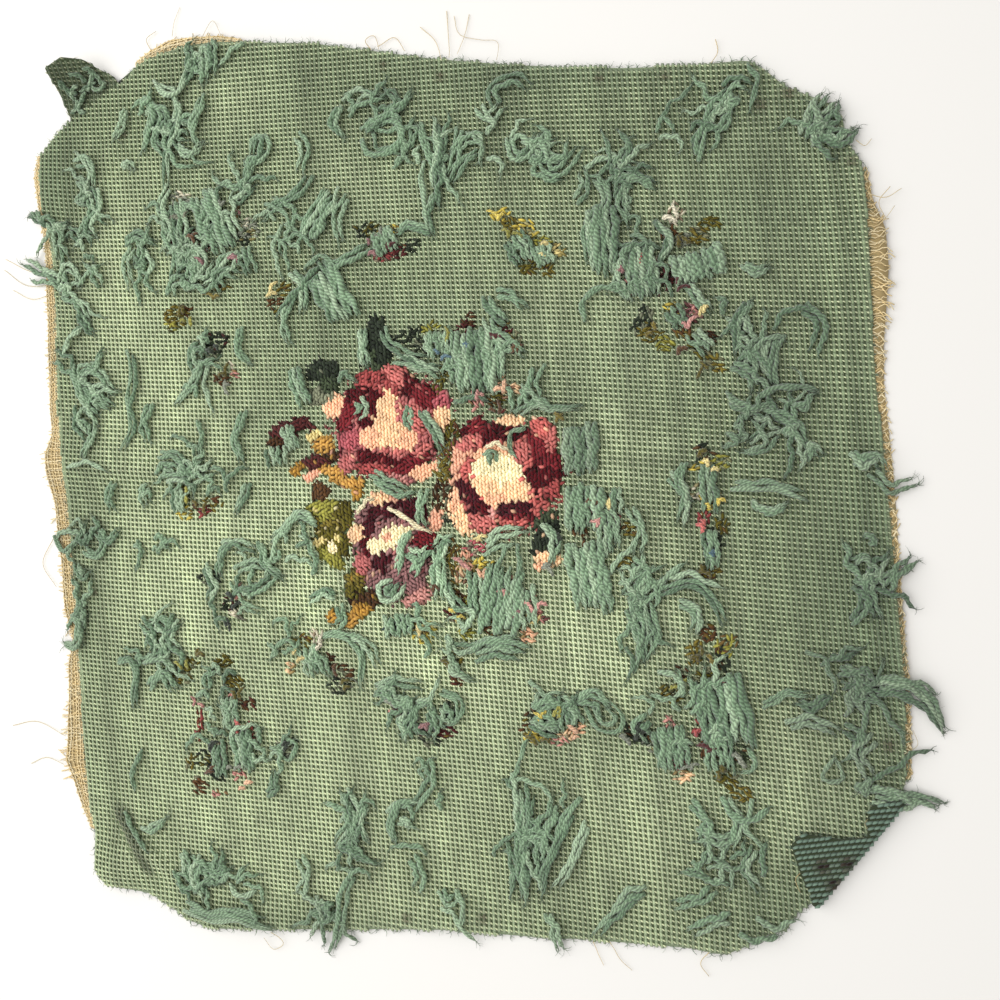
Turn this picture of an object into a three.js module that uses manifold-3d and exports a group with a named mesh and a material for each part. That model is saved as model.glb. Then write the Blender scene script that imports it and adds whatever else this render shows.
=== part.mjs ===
// Needlepoint chair-seat panel, worked in wool on double-thread canvas and lying reverse side up.
// Millimetres, +Z up. The origin is on the underside, near the middle of the panel.

import * as THREE from 'three';
import { mergeVertices } from 'three/addons/utils/BufferGeometryUtils.js';
import Module from 'manifold-3d';

const wasm = await Module();
wasm.setup();

// Cloth and the grid that carries its soft swells
const CLOTH_THICKNESS = 2.4;
const CELL = 19.8;
const GRID_START = { x: -243.3, y: -250.7 };
const GRID_CELLS = { x: 25, y: 26 };
const OUTLINE_BELOW = 5;
const OUTLINE_HEIGHT = 40;
const MERGE_WITHIN = 1e-4;

// Bent corners: thickness inside the joint, depth of the joint and steps around the bend
const CORNER_THICKNESS = 2.2;
const CORNER_ROOT = 2.5;
const BEND_STEPS = 6;
const LEAST_FLAT = 0.6;

// Curled corner, top left
const CURL_AT = { x: -211, y: 206 };
const CURL_HEADING = 30;
const CURL_RADIUS = 20;
const CURL_ANGLE = 60;

// Folded corner, bottom right
const FOLD_AT = { x: 226.5, y: -146.1 };
const FOLD_HEADING = -126.87;
const FOLD_RADIUS = 2;
const FOLD_ANGLE = 182.5;

// Bare margins and their frayed threads
const MARGIN_GAP = 0.4;
const CANVAS_THICKNESS = 1;
const STRIP_SHARE = 0.62;
const THREAD_PITCH = 8;
const THREAD_HALF_WIDTH = 0.45;
const THREAD_HEIGHT = 0.7;
const THREAD_ROOT = 0.8;
const THREAD_LONGER = 1.6;
const THREAD_STRAY = 50;
const THREADS_A_STRETCH = 17;
const MARGIN_SEEDS = { left: 1, right: 400, top: 800 };

// Yarn lying on the back of the cloth
const YARN_CLEARANCE = 0.6;
const YARN_HALF_WIDTH = 1.15;
const YARN_HEIGHT = 2;
const YARN_STEPS = 3;
const STEP_TURN = 90;
const YARN_TIP = 0.5;
const REACH_SHARE = { least: 0.8, spread: 0.3 };
const TURN_SHARE = { least: 0.6, spread: 0.8 };
const REACH_SEED = 31;
const TURN_SEED = 47;
const KNOT_RADIUS = 4.6;
const KNOT_TOP = 0.55;
const KNOT_HEIGHT = 2.4;
const KNOT_SIDES = 7;
const KNOT_HOLD = 2.4;
const MARGIN_REST = 1.5;
const EDGE_DROP = 4;
const MARGIN_REACH = 14;
const FLOOR_REACH = 26;

// Worked roses, leaves and floats
const ROSE_SPOKES = 20;
const ROSE_RINGS = [1, 0.8, 0.6, 0.38, 0.18];
const ROSE_RIM = 0.7;
const ROSE_SWELL = 1.2;
const ROSE_LOBE = 0.05;
const ROSE_RIPPLES = 1.5;
const ROSE_RIPPLE_DEPTH = 0.4;
const LEAF_RIM = 0.6;
const LEAF_RIDGE = 1.7;
const LEAF_ROWS = 5;
const LEAF_TIP = 0.22;
const FLOAT_VALLEY = 0.9;
const FLOAT_RIDGE = 2;
const FLOAT_END = 0.6;

// Turns rows of numbers into records with the given column names.
function table(columns, rows) {
  return rows.map((row) => Object.fromEntries(columns.map((name, place) => [name, row[place]])));
}

// Edges of the worked ground; bare is the width of the unworked canvas beyond that point.
const LEFT_EDGE = table(['x', 'y', 'bare'], [
  [-195.5, -202, 0],
  [-196, -192, 3],
  [-199, -180, 6],
  [-201, -165, 10],
  [-202, -155, 15],
  [-203, -140, 12],
  [-204.5, -120, 10],
  [-206, -100, 8],
  [-207, -88, 4],
  [-208, -70, 8.5],
  [-210.5, -40, 9],
  [-213.5, -10, 10],
  [-214.5, 5, 13],
  [-215.5, 18, 14],
  [-218.5, 30, 6],
  [-220, 45, 6],
  [-221, 100, 7],
  [-224, 140, 5],
  [-227, 158, 5],
  [-230, 175, 5],
  [-230, 187, 3],
  [-222, 197, 0],
]);

const TOP_EDGE = table(['x', 'y', 'bare'], [
  [-174, 227, 0],
  [-171, 231.5, 3],
  [-163, 235, 5],
  [-150, 238, 6.5],
  [-135, 239.5, 5.5],
  [-120, 239.5, 4],
  [-105, 237.5, 2],
  [-65, 233.5, 0],
  [-35, 227, 0],
  [0, 219, 0],
  [40, 211.5, 0],
  [70, 207, 0],
  [100, 204, 0],
  [130, 202.5, 0],
  [158, 202.5, 0],
  [166, 197, 0],
  [175, 188.5, 0],
  [196, 178, 0],
  [201, 172, 0],
  [203, 160, 0],
  [208, 152, 0],
]);

const RIGHT_EDGE = table(['x', 'y', 'bare'], [
  [210, 146, 2],
  [211, 132, 4],
  [212, 118, 9],
  [213, 100, 9.5],
  [213.5, 85, 8],
  [214.5, 65, 5.5],
  [216, 45, 4],
  [220, 5, 4],
  [222, -15, 3.5],
  [224, -40, 2.5],
  [227, -80, 2.5],
  [229, -120, 3],
  [229, -138, 2.5],
]);

const BOTTOM_EDGE = table(['x', 'y', 'bare'], [
  [181, -203, 0],
  [176, -212, 0],
  [165, -216, 0],
  [157, -221.5, 0],
  [147, -226.5, 0],
  [132, -225, 0],
  [80, -226, 0],
  [55, -227.5, 0],
  [8, -227.5, 0],
  [-55, -234.5, 0],
  [-105, -238, 0],
  [-125, -240, 0],
  [-138, -237, 0],
  [-149, -231, 0],
  [-162, -224.5, 0],
  [-188, -220.5, 0],
  [-194, -213, 0],
]);

// Soft swells that lift the cloth off the table, each zero beyond its half length and half width.
const SWELLS = table(['x', 'y', 'turn', 'halfLength', 'halfWidth', 'rise'], [
  [-205, 12, 0, 62, 24, 3],
  [150, 14, 0, 90, 24, 2.5],
  [-228, 160, 90, 42, 24, 4],
  [214, 110, 90, 80, 26, 3],
  [229, -80, 90, 58, 30, 2.6],
  [-178, -210, 30, 42, 24, 5],
  [-105, -234, 0, 44, 18, 2.5],
  [10, -226, 0, 40, 16, 2],
  [-110, 236, -5, 62, 18, 2],
  [60, 208, -4, 80, 18, 1.5],
  [150, -214, 30, 32, 20, 2],
]);

// Flat length of each bent corner, measured out from its bend line, at places along that line.
const CURL_ROWS = table(['along', 'length'], [
  [0, 3],
  [7, 29],
  [18, 28.5],
  [26, 21],
  [29, 13],
  [34, 5],
]);
const FOLD_BEND_LENGTH = FOLD_RADIUS * THREE.MathUtils.degToRad(FOLD_ANGLE);
const FOLD_ROWS = table(['along', 'length'], [
  [0.5, FOLD_BEND_LENGTH + 0.6],
  [11, FOLD_BEND_LENGTH + 8.5],
  [17, FOLD_BEND_LENGTH + 5.7],
  [23, FOLD_BEND_LENGTH + 0.6],
  [32, FOLD_BEND_LENGTH + 9.3],
  [41, FOLD_BEND_LENGTH + 23.5],
  [49, FOLD_BEND_LENGTH + 24],
  [58, FOLD_BEND_LENGTH + 11],
  [61, FOLD_BEND_LENGTH + 3.5],
  [64.5, FOLD_BEND_LENGTH + 0.6],
]);

const ROSES = table(['name', 'x', 'y', 'across', 'down', 'petals', 'turn', 'colour'], [
  ['rose_upper', -23, 31, 60, 56, 5, 20, '#b4656b'],
  ['rose_right', 39, 3, 54, 60, 6, 0, '#a9504f'],
  ['rose_lower', -20, -33, 46, 56, 5, 50, '#96555f'],
]);

const LEAVES = table(['name', 'x', 'y', 'heading', 'length', 'width', 'colour'], [
  ['leaf_dark_upper', -30, 74, 95, 26, 13, '#39432f'],
  ['leaf_dark_left', -62, 56, 30, 22, 15, '#414a35'],
  ['leaf_maroon', -80, 27, 25, 26, 15, '#5c3330'],
  ['leaf_mustard', -60, 10, 150, 28, 11, '#c79043'],
  ['leaf_olive', -56, -26, 80, 34, 20, '#7a7a32'],
  ['leaf_brown', -44, -62, -62, 26, 13, '#7d5a2c'],
  ['leaf_black', 62, -36, 75, 20, 11, '#343a30'],
]);

const FLOATS = table(['name', 'x', 'y', 'heading', 'length', 'width', 'ridges'], [
  ['floats_spray_top_left', -121, 142, -62, 34, 16, 5],
  ['floats_top_left_inner', -61, 142, 60, 26, 12, 4],
  ['floats_left_of_centre', -53, 99, -58, 30, 17, 5],
  ['floats_bud_top', -24, 126, -70, 14, 12, 4],
  ['floats_spray_top_right', 108, 104, -78, 28, 15, 5],
  ['floats_top_right_inner', 89, 120, -86, 34, 15, 5],
  ['floats_top_right_row', 135, 105, -75, 15, 25, 7],
  ['floats_side_upper', 78, 17, -88, 26, 17, 6],
  ['floats_side_middle', 80, -12, -88, 24, 19, 6],
  ['floats_side_lower', 82, -46, -80, 36, 19, 6],
  ['floats_spray_right_a', 122, -128, -80, 22, 17, 6],
  ['floats_spray_right_b', 147, -110, -78, 34, 24, 7],
  ['floats_spray_low_left', -104, -143, -80, 26, 12, 4],
  ['floats_above_rose', 24, 62, -84, 32, 20, 6],
  ['floats_below_rose', 38, -58, 82, 34, 20, 6],
]);

// Bunches of loose ends: twoWay sends every other strand the opposite way from the knot.
const TAIL_COLUMNS = ['name', 'x', 'y', 'heading', 'spread', 'count', 'length', 'bend', 'twoWay'];
const TAILS = table(TAIL_COLUMNS, [
  ['tails_left_edge_high', -216, 146, 215, 130, 3, 19, 15, 0],
  ['tails_left_edge', -213, 110, 60, 200, 4, 26, 10, 0],
  ['tails_left_chain', -199, 163, 95, 40, 4, 24, 60, 1],
  ['tails_top_loops', -149, 195, 80, 60, 4, 30, 100, 1],
  ['tails_top_hooks', -134, 228, 40, 150, 4, 13, -80, 0],
  ['tails_spray_left', -166, 122, 88, 40, 4, 18, 20, 1],
  ['tails_spray_low', -138, 110, 20, 110, 4, 18, 90, 0],
  ['tails_spray_right', -103, 160, 110, 150, 4, 20, -50, 0],
  ['tails_top_middle', -31, 186, -10, 150, 4, 24, 100, 0],
  ['tails_top_bundle', 6, 166, 95, 44, 5, 24, 14, 1],
  ['tails_top_curls', 55, 163, 0, 190, 4, 20, 100, 0],
  ['tails_top_arch', 94, 152, 30, 90, 4, 19, -30, 0],
  ['tails_right_top_edge', 150, 182, 215, 100, 4, 20, -40, 0],
  ['tails_corner_top_right', 190, 165, 20, 240, 5, 16, 70, 0],
  ['tails_right_upper', 160, 62, 80, 60, 5, 19, 40, 1],
  ['tails_right_crease', 178, 26, 110, 60, 5, 20, -40, 1],
  ['tails_right_edge', 212, -48, 60, 140, 4, 19, -40, 0],
  ['tails_right_long', 210, -95, -20, 110, 4, 36, -60, 0],
  ['tails_right_low', 211, -141, 20, 50, 2, 30, -20, 0],
  ['tails_left_middle', -203, 58, -55, 50, 5, 22, 30, 1],
  ['tails_left_loop', -202, -30, 100, 180, 4, 20, 120, 0],
  ['tails_left_low', -203, -70, 250, 60, 4, 16, 20, 1],
  ['tails_left_spray', -138, 6, 20, 70, 6, 17, 30, 1],
  ['tails_low_left', -152, -92, 90, 70, 6, 19, 50, 1],
  ['tails_bottom_left', -122, -213, 75, 140, 5, 18, 60, 0],
  ['tails_low_spray', -12, -113, 210, 160, 5, 18, 40, 0],
  ['tails_low_middle', -42, -180, 80, 50, 5, 20, 60, 1],
  ['tails_bottom_edge', -55, -222, 230, 150, 4, 20, 10, 0],
  ['tails_low_right', 50, -180, 80, 50, 6, 26, 12, 1],
  ['tails_right_of_centre', 106, -62, 80, 80, 6, 22, 30, 1],
]);

const GROUND_GREEN = '#8b9b7b';
const YARN_GREEN = '#739a85';
const CANVAS_TAN = '#d9b26d';
const WOOL_ROUGHNESS = 0.95;
const CANVAS_ROUGHNESS = 0.9;

const radians = THREE.MathUtils.degToRad;
const degrees = THREE.MathUtils.radToDeg;
const lerp = THREE.MathUtils.lerp;
const clamp = THREE.MathUtils.clamp;

// A repeatable value between 0 and 1 for each whole number, for slightly uneven lengths.
function uneven(seed) {
  const wave = Math.sin(seed * 12.9898) * 43758.5453;
  return wave - Math.floor(wave);
}

// Soft hump: one at the middle, zero from the given half size outwards.
function hump(distance, halfSize) {
  const share = Math.min(1, Math.abs(distance) / halfSize);
  return Math.cos((share * Math.PI) / 2) ** 2;
}

// Height of the cloth's underside above the table.
function lift(x, y) {
  let height = 0;
  for (const swell of SWELLS) {
    const turn = radians(swell.turn);
    const along = (x - swell.x) * Math.cos(turn) + (y - swell.y) * Math.sin(turn);
    const across = (y - swell.y) * Math.cos(turn) - (x - swell.x) * Math.sin(turn);
    height += swell.rise * hump(along, swell.halfLength) * hump(across, swell.halfWidth);
  }
  return height;
}

const gridX = (column) => GRID_START.x + column * CELL;
const gridY = (row) => GRID_START.y + row * CELL;
const gridLift = (row, column) => lift(gridX(column), gridY(row));

// Height of the faceted cloth's top at a point, read from the triangle of the grid it falls in.
function clothTop(x, y) {
  const column = Math.floor((x - GRID_START.x) / CELL);
  const row = Math.floor((y - GRID_START.y) / CELL);
  const right = (x - gridX(column)) / CELL;
  const up = (y - gridY(row)) / CELL;
  const near = gridLift(row, column);
  const far = gridLift(row + 1, column + 1);
  const side = right >= up ? gridLift(row, column + 1) : gridLift(row + 1, column);
  const rise = right >= up
    ? near + (side - near) * right + (far - side) * up
    : near + (far - side) * right + (side - near) * up;
  return CLOTH_THICKNESS + rise;
}

// A solid from points and triangles, turned right side out.
function solidFrom(points, triangles) {
  let volume = 0;
  for (let i = 0; i < triangles.length; i += 3) {
    const [a, b, c] = [0, 1, 2].map((k) => new THREE.Vector3(...points[triangles[i + k]]));
    volume += a.dot(b.cross(c));
  }
  const order = volume < 0 ? triangles.toReversed() : triangles;
  const vertProperties = new Float32Array(points.flat());
  const triVerts = new Uint32Array(order);
  return new wasm.Manifold(new wasm.Mesh({ numProp: 3, vertProperties, triVerts }));
}

// A closed slab over a grid of rows and columns; lower and upper give the points of its two faces.
function gridSlab(rows, columns, lower, upper) {
  const points = [];
  const triangles = [];
  for (const face of [lower, upper]) {
    for (let row = 0; row < rows; row += 1) {
      for (let column = 0; column < columns; column += 1) {
        points.push(face(row, column));
      }
    }
  }
  const low = (row, column) => row * columns + column;
  const high = (row, column) => rows * columns + low(row, column);
  const quad = (a, b, c, d) => triangles.push(a, b, c, a, c, d);
  for (let row = 0; row + 1 < rows; row += 1) {
    for (let column = 0; column + 1 < columns; column += 1) {
      quad(high(row, column), high(row, column + 1), high(row + 1, column + 1), high(row + 1, column));
      triangles.push(low(row, column), low(row + 1, column + 1), low(row, column + 1));
      triangles.push(low(row, column), low(row + 1, column), low(row + 1, column + 1));
    }
    const last = columns - 1;
    quad(low(row, last), low(row + 1, last), high(row + 1, last), high(row, last));
    quad(low(row + 1, 0), low(row, 0), high(row, 0), high(row + 1, 0));
  }
  for (let column = 0; column + 1 < columns; column += 1) {
    const last = rows - 1;
    quad(low(0, column), low(0, column + 1), high(0, column + 1), high(0, column));
    quad(low(last, column + 1), low(last, column), high(last, column), high(last, column + 1));
  }
  return solidFrom(points, triangles);
}

// A solid from one of the three.js geometries, its shared corners merged.
function solidFromGeometry(geometry) {
  geometry.deleteAttribute('normal');
  geometry.deleteAttribute('uv');
  const merged = mergeVertices(geometry, MERGE_WITHIN);
  const vertProperties = new Float32Array(merged.attributes.position.array);
  const triVerts = new Uint32Array(merged.index.array);
  return new wasm.Manifold(new wasm.Mesh({ numProp: 3, vertProperties, triVerts }));
}

// A point at a place along a bend line and a distance out from it.
function fromBendLine(start, heading, along, out) {
  const turn = radians(heading);
  return {
    x: start.x + along * Math.cos(turn) - out * Math.sin(turn),
    y: start.y + along * Math.sin(turn) + out * Math.cos(turn),
  };
}

const curlEnd = fromBendLine(CURL_AT, CURL_HEADING, CURL_ROWS.at(-1).along, 0);
const foldEnd = fromBendLine(FOLD_AT, FOLD_HEADING, FOLD_ROWS.at(-1).along, 0);
const OUTLINE = [
  ...LEFT_EDGE,
  CURL_AT,
  curlEnd,
  ...TOP_EDGE,
  ...RIGHT_EDGE,
  FOLD_AT,
  foldEnd,
  ...BOTTOM_EDGE,
];

// Distance of a point outside the worked ground, zero on it.
function outsideBy(x, y) {
  let inside = false;
  let nearest = Infinity;
  OUTLINE.forEach((end, place) => {
    const start = OUTLINE.at(place - 1);
    const run = { x: end.x - start.x, y: end.y - start.y };
    const share = ((x - start.x) * run.x + (y - start.y) * run.y) / (run.x ** 2 + run.y ** 2);
    const held = clamp(share, 0, 1);
    nearest = Math.min(nearest, Math.hypot(x - start.x - held * run.x, y - start.y - held * run.y));
    const crosses = (start.y > y) !== (end.y > y);
    if (crosses && x < start.x + (run.x * (y - start.y)) / run.y) {
      inside = !inside;
    }
  });
  return inside ? 0 : nearest;
}

// Height at which a loose yarn lies: on the cloth, over the bare margin, then down to the table.
function yarnRest(x, y) {
  const outside = outsideBy(x, y);
  const onCloth = clothTop(x, y) + YARN_CLEARANCE;
  const overMargin = onCloth - CLOTH_THICKNESS + MARGIN_REST;
  if (outside < EDGE_DROP) {
    return lerp(onCloth, overMargin, outside / EDGE_DROP);
  }
  const fall = clamp((outside - MARGIN_REACH) / (FLOOR_REACH - MARGIN_REACH), 0, 1);
  return lerp(overMargin, 0, fall);
}

// Path of a strand that turns evenly by bend degrees over its length.
function arcPath(x, y, heading, length, bend, steps) {
  const path = [{ x, y, heading: radians(heading) }];
  for (let step = 0; step < steps; step += 1) {
    const last = path.at(-1);
    const next = radians(heading + (bend * (step + 1)) / steps);
    const middle = (last.heading + next) / 2;
    path.push({
      x: last.x + (Math.cos(middle) * length) / steps,
      y: last.y + (Math.sin(middle) * length) / steps,
      heading: next,
    });
  }
  return path;
}

// A three-sided strand along a path: flat below, one ridge on top, thinner at its tip.
function strand(path, rest, halfWidth, height) {
  const points = [];
  const triangles = [];
  path.forEach((place, step) => {
    const size = lerp(1, YARN_TIP, (step / (path.length - 1)) ** 2);
    const half = halfWidth * size;
    const sideways = { x: -Math.sin(place.heading) * half, y: Math.cos(place.heading) * half };
    const base = rest(place.x, place.y);
    points.push([place.x + sideways.x, place.y + sideways.y, base]);
    points.push([place.x - sideways.x, place.y - sideways.y, base]);
    points.push([place.x, place.y, base + height * size]);
  });
  for (let step = 0; step + 1 < path.length; step += 1) {
    for (let side = 0; side < 3; side += 1) {
      const a = step * 3 + side;
      const b = step * 3 + ((side + 1) % 3);
      triangles.push(a, b, b + 3, a, b + 3, a + 3);
    }
  }
  const tip = (path.length - 1) * 3;
  triangles.push(0, 2, 1, tip, tip + 1, tip + 2);
  return solidFrom(points, triangles);
}

// A raised round pad on the cloth; rings are shares of its radius, from the rim to the middle.
function roundPad(x, y, sides, rings, radiusAt, heightAt) {
  const seat = (px, py) => clothTop(px, py) + YARN_CLEARANCE;
  const points = [[x, y, seat(x, y)]];
  const triangles = [];
  const addRing = (share, height) => {
    for (let side = 0; side < sides; side += 1) {
      const angle = (side / sides) * 2 * Math.PI;
      const radius = radiusAt(angle) * share;
      const px = x + radius * Math.cos(angle);
      const py = y + radius * Math.sin(angle);
      points.push([px, py, seat(px, py) + height(angle)]);
    }
  };
  addRing(1, () => 0);
  rings.forEach((share) => addRing(share, (angle) => heightAt(share, angle)));
  points.push([x, y, seat(x, y) + heightAt(0, 0)]);
  const topMiddle = points.length - 1;
  const ringStart = (ring) => 1 + ring * sides;
  for (let side = 0; side < sides; side += 1) {
    const next = (side + 1) % sides;
    triangles.push(0, ringStart(0) + next, ringStart(0) + side);
    for (let ring = 0; ring < rings.length; ring += 1) {
      const [a, b] = [ringStart(ring) + side, ringStart(ring) + next];
      triangles.push(a, b, b + sides, a, b + sides, a + sides);
    }
    triangles.push(topMiddle, ringStart(rings.length) + side, ringStart(rings.length) + next);
  }
  return solidFrom(points, triangles);
}

// Section of a bent corner: distance out, height and tilt at a flat length from the bend line.
function bendAt(length, radius, angle) {
  const bent = radius * angle;
  if (length <= 0) {
    return { out: length, up: 0, tilt: 0 };
  }
  const tilt = Math.min(length, bent) / radius;
  const straight = Math.max(0, length - bent);
  return {
    out: radius * Math.sin(tilt) + straight * Math.cos(tilt),
    up: radius * (1 - Math.cos(tilt)) + straight * Math.sin(tilt),
    tilt,
  };
}

// A corner of the cloth bent about a line, its root set into the cloth's edge.
function bentCorner(start, heading, rows, radius, angleDegrees) {
  const angle = radians(angleDegrees);
  const lengthAt = (row, column) => {
    const bent = Math.min(radius * angle, rows[row].length - LEAST_FLAT);
    const arc = (bent * (column - 1)) / BEND_STEPS;
    return [-CORNER_ROOT, ...Array(BEND_STEPS + 1).fill(arc), rows[row].length][column];
  };
  const face = (offset) => (row, column) => {
    const section = bendAt(lengthAt(row, column), radius, angle);
    const out = section.out - offset * Math.sin(section.tilt);
    const place = fromBendLine(start, heading, rows[row].along, out);
    return [place.x, place.y, CLOTH_THICKNESS / 2 + section.up + offset * Math.cos(section.tilt)];
  };
  const columns = BEND_STEPS + 3;
  return gridSlab(rows.length, columns, face(-CORNER_THICKNESS / 2), face(CORNER_THICKNESS / 2));
}

// The worked ground with its two bent corners, one sheet.
function canvasPanel() {
  const face = (above) => (row, column) => [gridX(column), gridY(row), gridLift(row, column) + above];
  const swollen = gridSlab(GRID_CELLS.y + 1, GRID_CELLS.x + 1, face(0), face(CLOTH_THICKNESS));
  const shape = new THREE.Shape(OUTLINE.map((point) => new THREE.Vector2(point.x, point.y)));
  const outline = new THREE.ExtrudeGeometry(shape, { depth: OUTLINE_HEIGHT, bevelEnabled: false });
  outline.translate(0, 0, -OUTLINE_BELOW);
  const cut = swollen.intersect(solidFromGeometry(outline));
  const curl = bentCorner(CURL_AT, CURL_HEADING, CURL_ROWS, CURL_RADIUS, CURL_ANGLE);
  const fold = bentCorner(FOLD_AT, FOLD_HEADING, FOLD_ROWS, FOLD_RADIUS, FOLD_ANGLE);
  return cut.add(curl).add(fold);
}

// A bare margin along an edge, with frayed threads along its outer side; out points off the cloth.
function bareMargin(edge, out, seed) {
  const rows = edge.filter((row) => row.bare > 0);
  const offset = (row, distance) => ({ x: row.x + out.x * distance, y: row.y + out.y * distance });
  const face = (height) => (row, column) => {
    const reach = column === 0 ? 0 : rows[row].bare * STRIP_SHARE;
    const place = offset(rows[row], MARGIN_GAP + reach);
    return [place.x, place.y, lift(rows[row].x, rows[row].y) + height];
  };
  const strip = gridSlab(rows.length, 2, face(0), face(CANVAS_THICKNESS));
  const threads = [];
  for (let place = 0; place + 1 < rows.length; place += 1) {
    const [start, end] = [rows[place], rows[place + 1]];
    const count = Math.floor(Math.hypot(end.x - start.x, end.y - start.y) / THREAD_PITCH);
    for (let thread = 0; thread < count; thread += 1) {
      const share = (thread + 0.5) / count;
      const bare = lerp(start.bare, end.bare, share);
      const root = offset(
        { x: lerp(start.x, end.x, share), y: lerp(start.y, end.y, share) },
        MARGIN_GAP + bare * STRIP_SHARE - THREAD_ROOT,
      );
      const chance = uneven(seed + place * THREADS_A_STRETCH + thread);
      const heading = degrees(Math.atan2(out.y, out.x)) + (chance - 0.5) * THREAD_STRAY;
      const length = THREAD_ROOT + bare * (1 - STRIP_SHARE) + THREAD_LONGER * chance;
      const raised = lerp(lift(start.x, start.y), lift(end.x, end.y), share);
      const rest = () => raised + (CANVAS_THICKNESS - THREAD_HEIGHT) / 2;
      const path = arcPath(root.x, root.y, heading, length, 0, 1);
      threads.push(strand(path, rest, THREAD_HALF_WIDTH, THREAD_HEIGHT));
    }
  }
  return wasm.Manifold.union([strip, ...threads]);
}

// A worked rose: lobed outline, swelling in rings of petals towards its heart.
function rose({ x, y, across, down, petals, turn }) {
  const phase = radians(turn);
  const radiusAt = (angle) => {
    const round = Math.hypot((across / 2) * Math.cos(angle), (down / 2) * Math.sin(angle));
    return round * (1 - ROSE_LOBE + ROSE_LOBE * Math.cos(petals * angle + phase));
  };
  const heightAt = (share, angle) => {
    const ripple = Math.cos(share * ROSE_RIPPLES * 2 * Math.PI + Math.cos(petals * angle + phase));
    return share === 1 ? ROSE_RIM : ROSE_RIM + ROSE_SWELL * (0.5 + ROSE_RIPPLE_DEPTH * ripple);
  };
  return roundPad(x, y, ROSE_SPOKES, ROSE_RINGS, radiusAt, heightAt);
}

// A worked leaf: pointed at both ends, with a ridge along its middle.
function leaf({ x, y, heading, length, width }) {
  const turn = radians(heading);
  const face = (rim, ridge) => (row, column) => {
    const share = row / (LEAF_ROWS - 1);
    const half = (width / 2) * Math.max(LEAF_TIP, Math.sin(Math.PI * share));
    const along = (share - 0.5) * length;
    const across = (column - 1) * half;
    const px = x + along * Math.cos(turn) - across * Math.sin(turn);
    const py = y + along * Math.sin(turn) + across * Math.cos(turn);
    const height = column === 1 && share > 0 && share < 1 ? ridge : rim;
    return [px, py, clothTop(px, py) + YARN_CLEARANCE + height];
  };
  return gridSlab(LEAF_ROWS, 3, face(0, 0), face(LEAF_RIM, LEAF_RIDGE));
}

// A patch of yarns carried side by side: ridged across, lower at both ends.
function floats({ x, y, heading, length, width, ridges }) {
  const turn = radians(heading);
  const columns = 2 * ridges + 1;
  const face = (raised) => (row, column) => {
    const along = (row / 2 - 0.5) * length;
    const across = (column / (columns - 1) - 0.5) * width;
    const px = x + along * Math.cos(turn) - across * Math.sin(turn);
    const py = y + along * Math.sin(turn) + across * Math.cos(turn);
    const crown = column % 2 === 0 ? FLOAT_VALLEY : FLOAT_RIDGE;
    const height = crown * (row === 1 ? 1 : FLOAT_END);
    return [px, py, clothTop(px, py) + YARN_CLEARANCE + raised * height];
  };
  return gridSlab(3, columns, face(0), face(1));
}

// A bunch of loose yarn ends fanning out from the knot they come through.
function tails({ x, y, heading, spread, count, length, bend, twoWay }, seed) {
  const knot = roundPad(x, y, KNOT_SIDES, [KNOT_TOP], () => KNOT_RADIUS, () => KNOT_HEIGHT);
  const strands = [];
  for (let place = 0; place < count; place += 1) {
    const fan = count > 1 ? place / (count - 1) - 0.5 : 0;
    const opposite = twoWay && place % 2 === 1 ? 180 : 0;
    const leaving = heading + fan * spread + opposite;
    const rootX = x + KNOT_HOLD * Math.cos(radians(leaving));
    const rootY = y + KNOT_HOLD * Math.sin(radians(leaving));
    const reach = length * (REACH_SHARE.least + REACH_SHARE.spread * uneven(seed * REACH_SEED + place));
    const turn = bend * (TURN_SHARE.least + TURN_SHARE.spread * uneven(seed * TURN_SEED + place));
    const steps = YARN_STEPS + Math.floor(Math.abs(turn) / STEP_TURN);
    const path = arcPath(rootX, rootY, leaving, reach, turn, steps);
    strands.push(strand(path, yarnRest, YARN_HALF_WIDTH, YARN_HEIGHT));
  }
  return wasm.Manifold.union([knot, ...strands]);
}

// A named mesh with its own material.
function pieceMesh(name, solid, colour, roughness) {
  const { vertProperties, triVerts } = solid.getMesh();
  const geometry = new THREE.BufferGeometry();
  geometry.setAttribute('position', new THREE.BufferAttribute(vertProperties, 3));
  geometry.setIndex(new THREE.BufferAttribute(triVerts, 1));
  geometry.computeVertexNormals();
  const material = new THREE.MeshStandardMaterial({ color: colour, roughness, metalness: 0 });
  const mesh = new THREE.Mesh(geometry, material);
  mesh.name = name;
  return mesh;
}

const panel = new THREE.Group();
panel.add(pieceMesh('canvas_panel', canvasPanel(), GROUND_GREEN, WOOL_ROUGHNESS));
const MARGINS = [
  ['margin_left', LEFT_EDGE, { x: -1, y: 0 }, MARGIN_SEEDS.left],
  ['margin_right', RIGHT_EDGE, { x: 1, y: 0 }, MARGIN_SEEDS.right],
  ['margin_top', TOP_EDGE, { x: 0, y: 1 }, MARGIN_SEEDS.top],
];
for (const [name, edge, out, seed] of MARGINS) {
  panel.add(pieceMesh(name, bareMargin(edge, out, seed), CANVAS_TAN, CANVAS_ROUGHNESS));
}
ROSES.forEach((row) => panel.add(pieceMesh(row.name, rose(row), row.colour, WOOL_ROUGHNESS)));
LEAVES.forEach((row) => panel.add(pieceMesh(row.name, leaf(row), row.colour, WOOL_ROUGHNESS)));
FLOATS.forEach((row) => panel.add(pieceMesh(row.name, floats(row), YARN_GREEN, WOOL_ROUGHNESS)));
TAILS.forEach((row, seed) => panel.add(pieceMesh(row.name, tails(row, seed), YARN_GREEN, WOOL_ROUGHNESS)));

export default panel;
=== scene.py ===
"""Dresses the needlepoint chair-seat panel: worked ground, bouquet, sprays, loose yarn and bare margins."""

from types import SimpleNamespace

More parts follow.
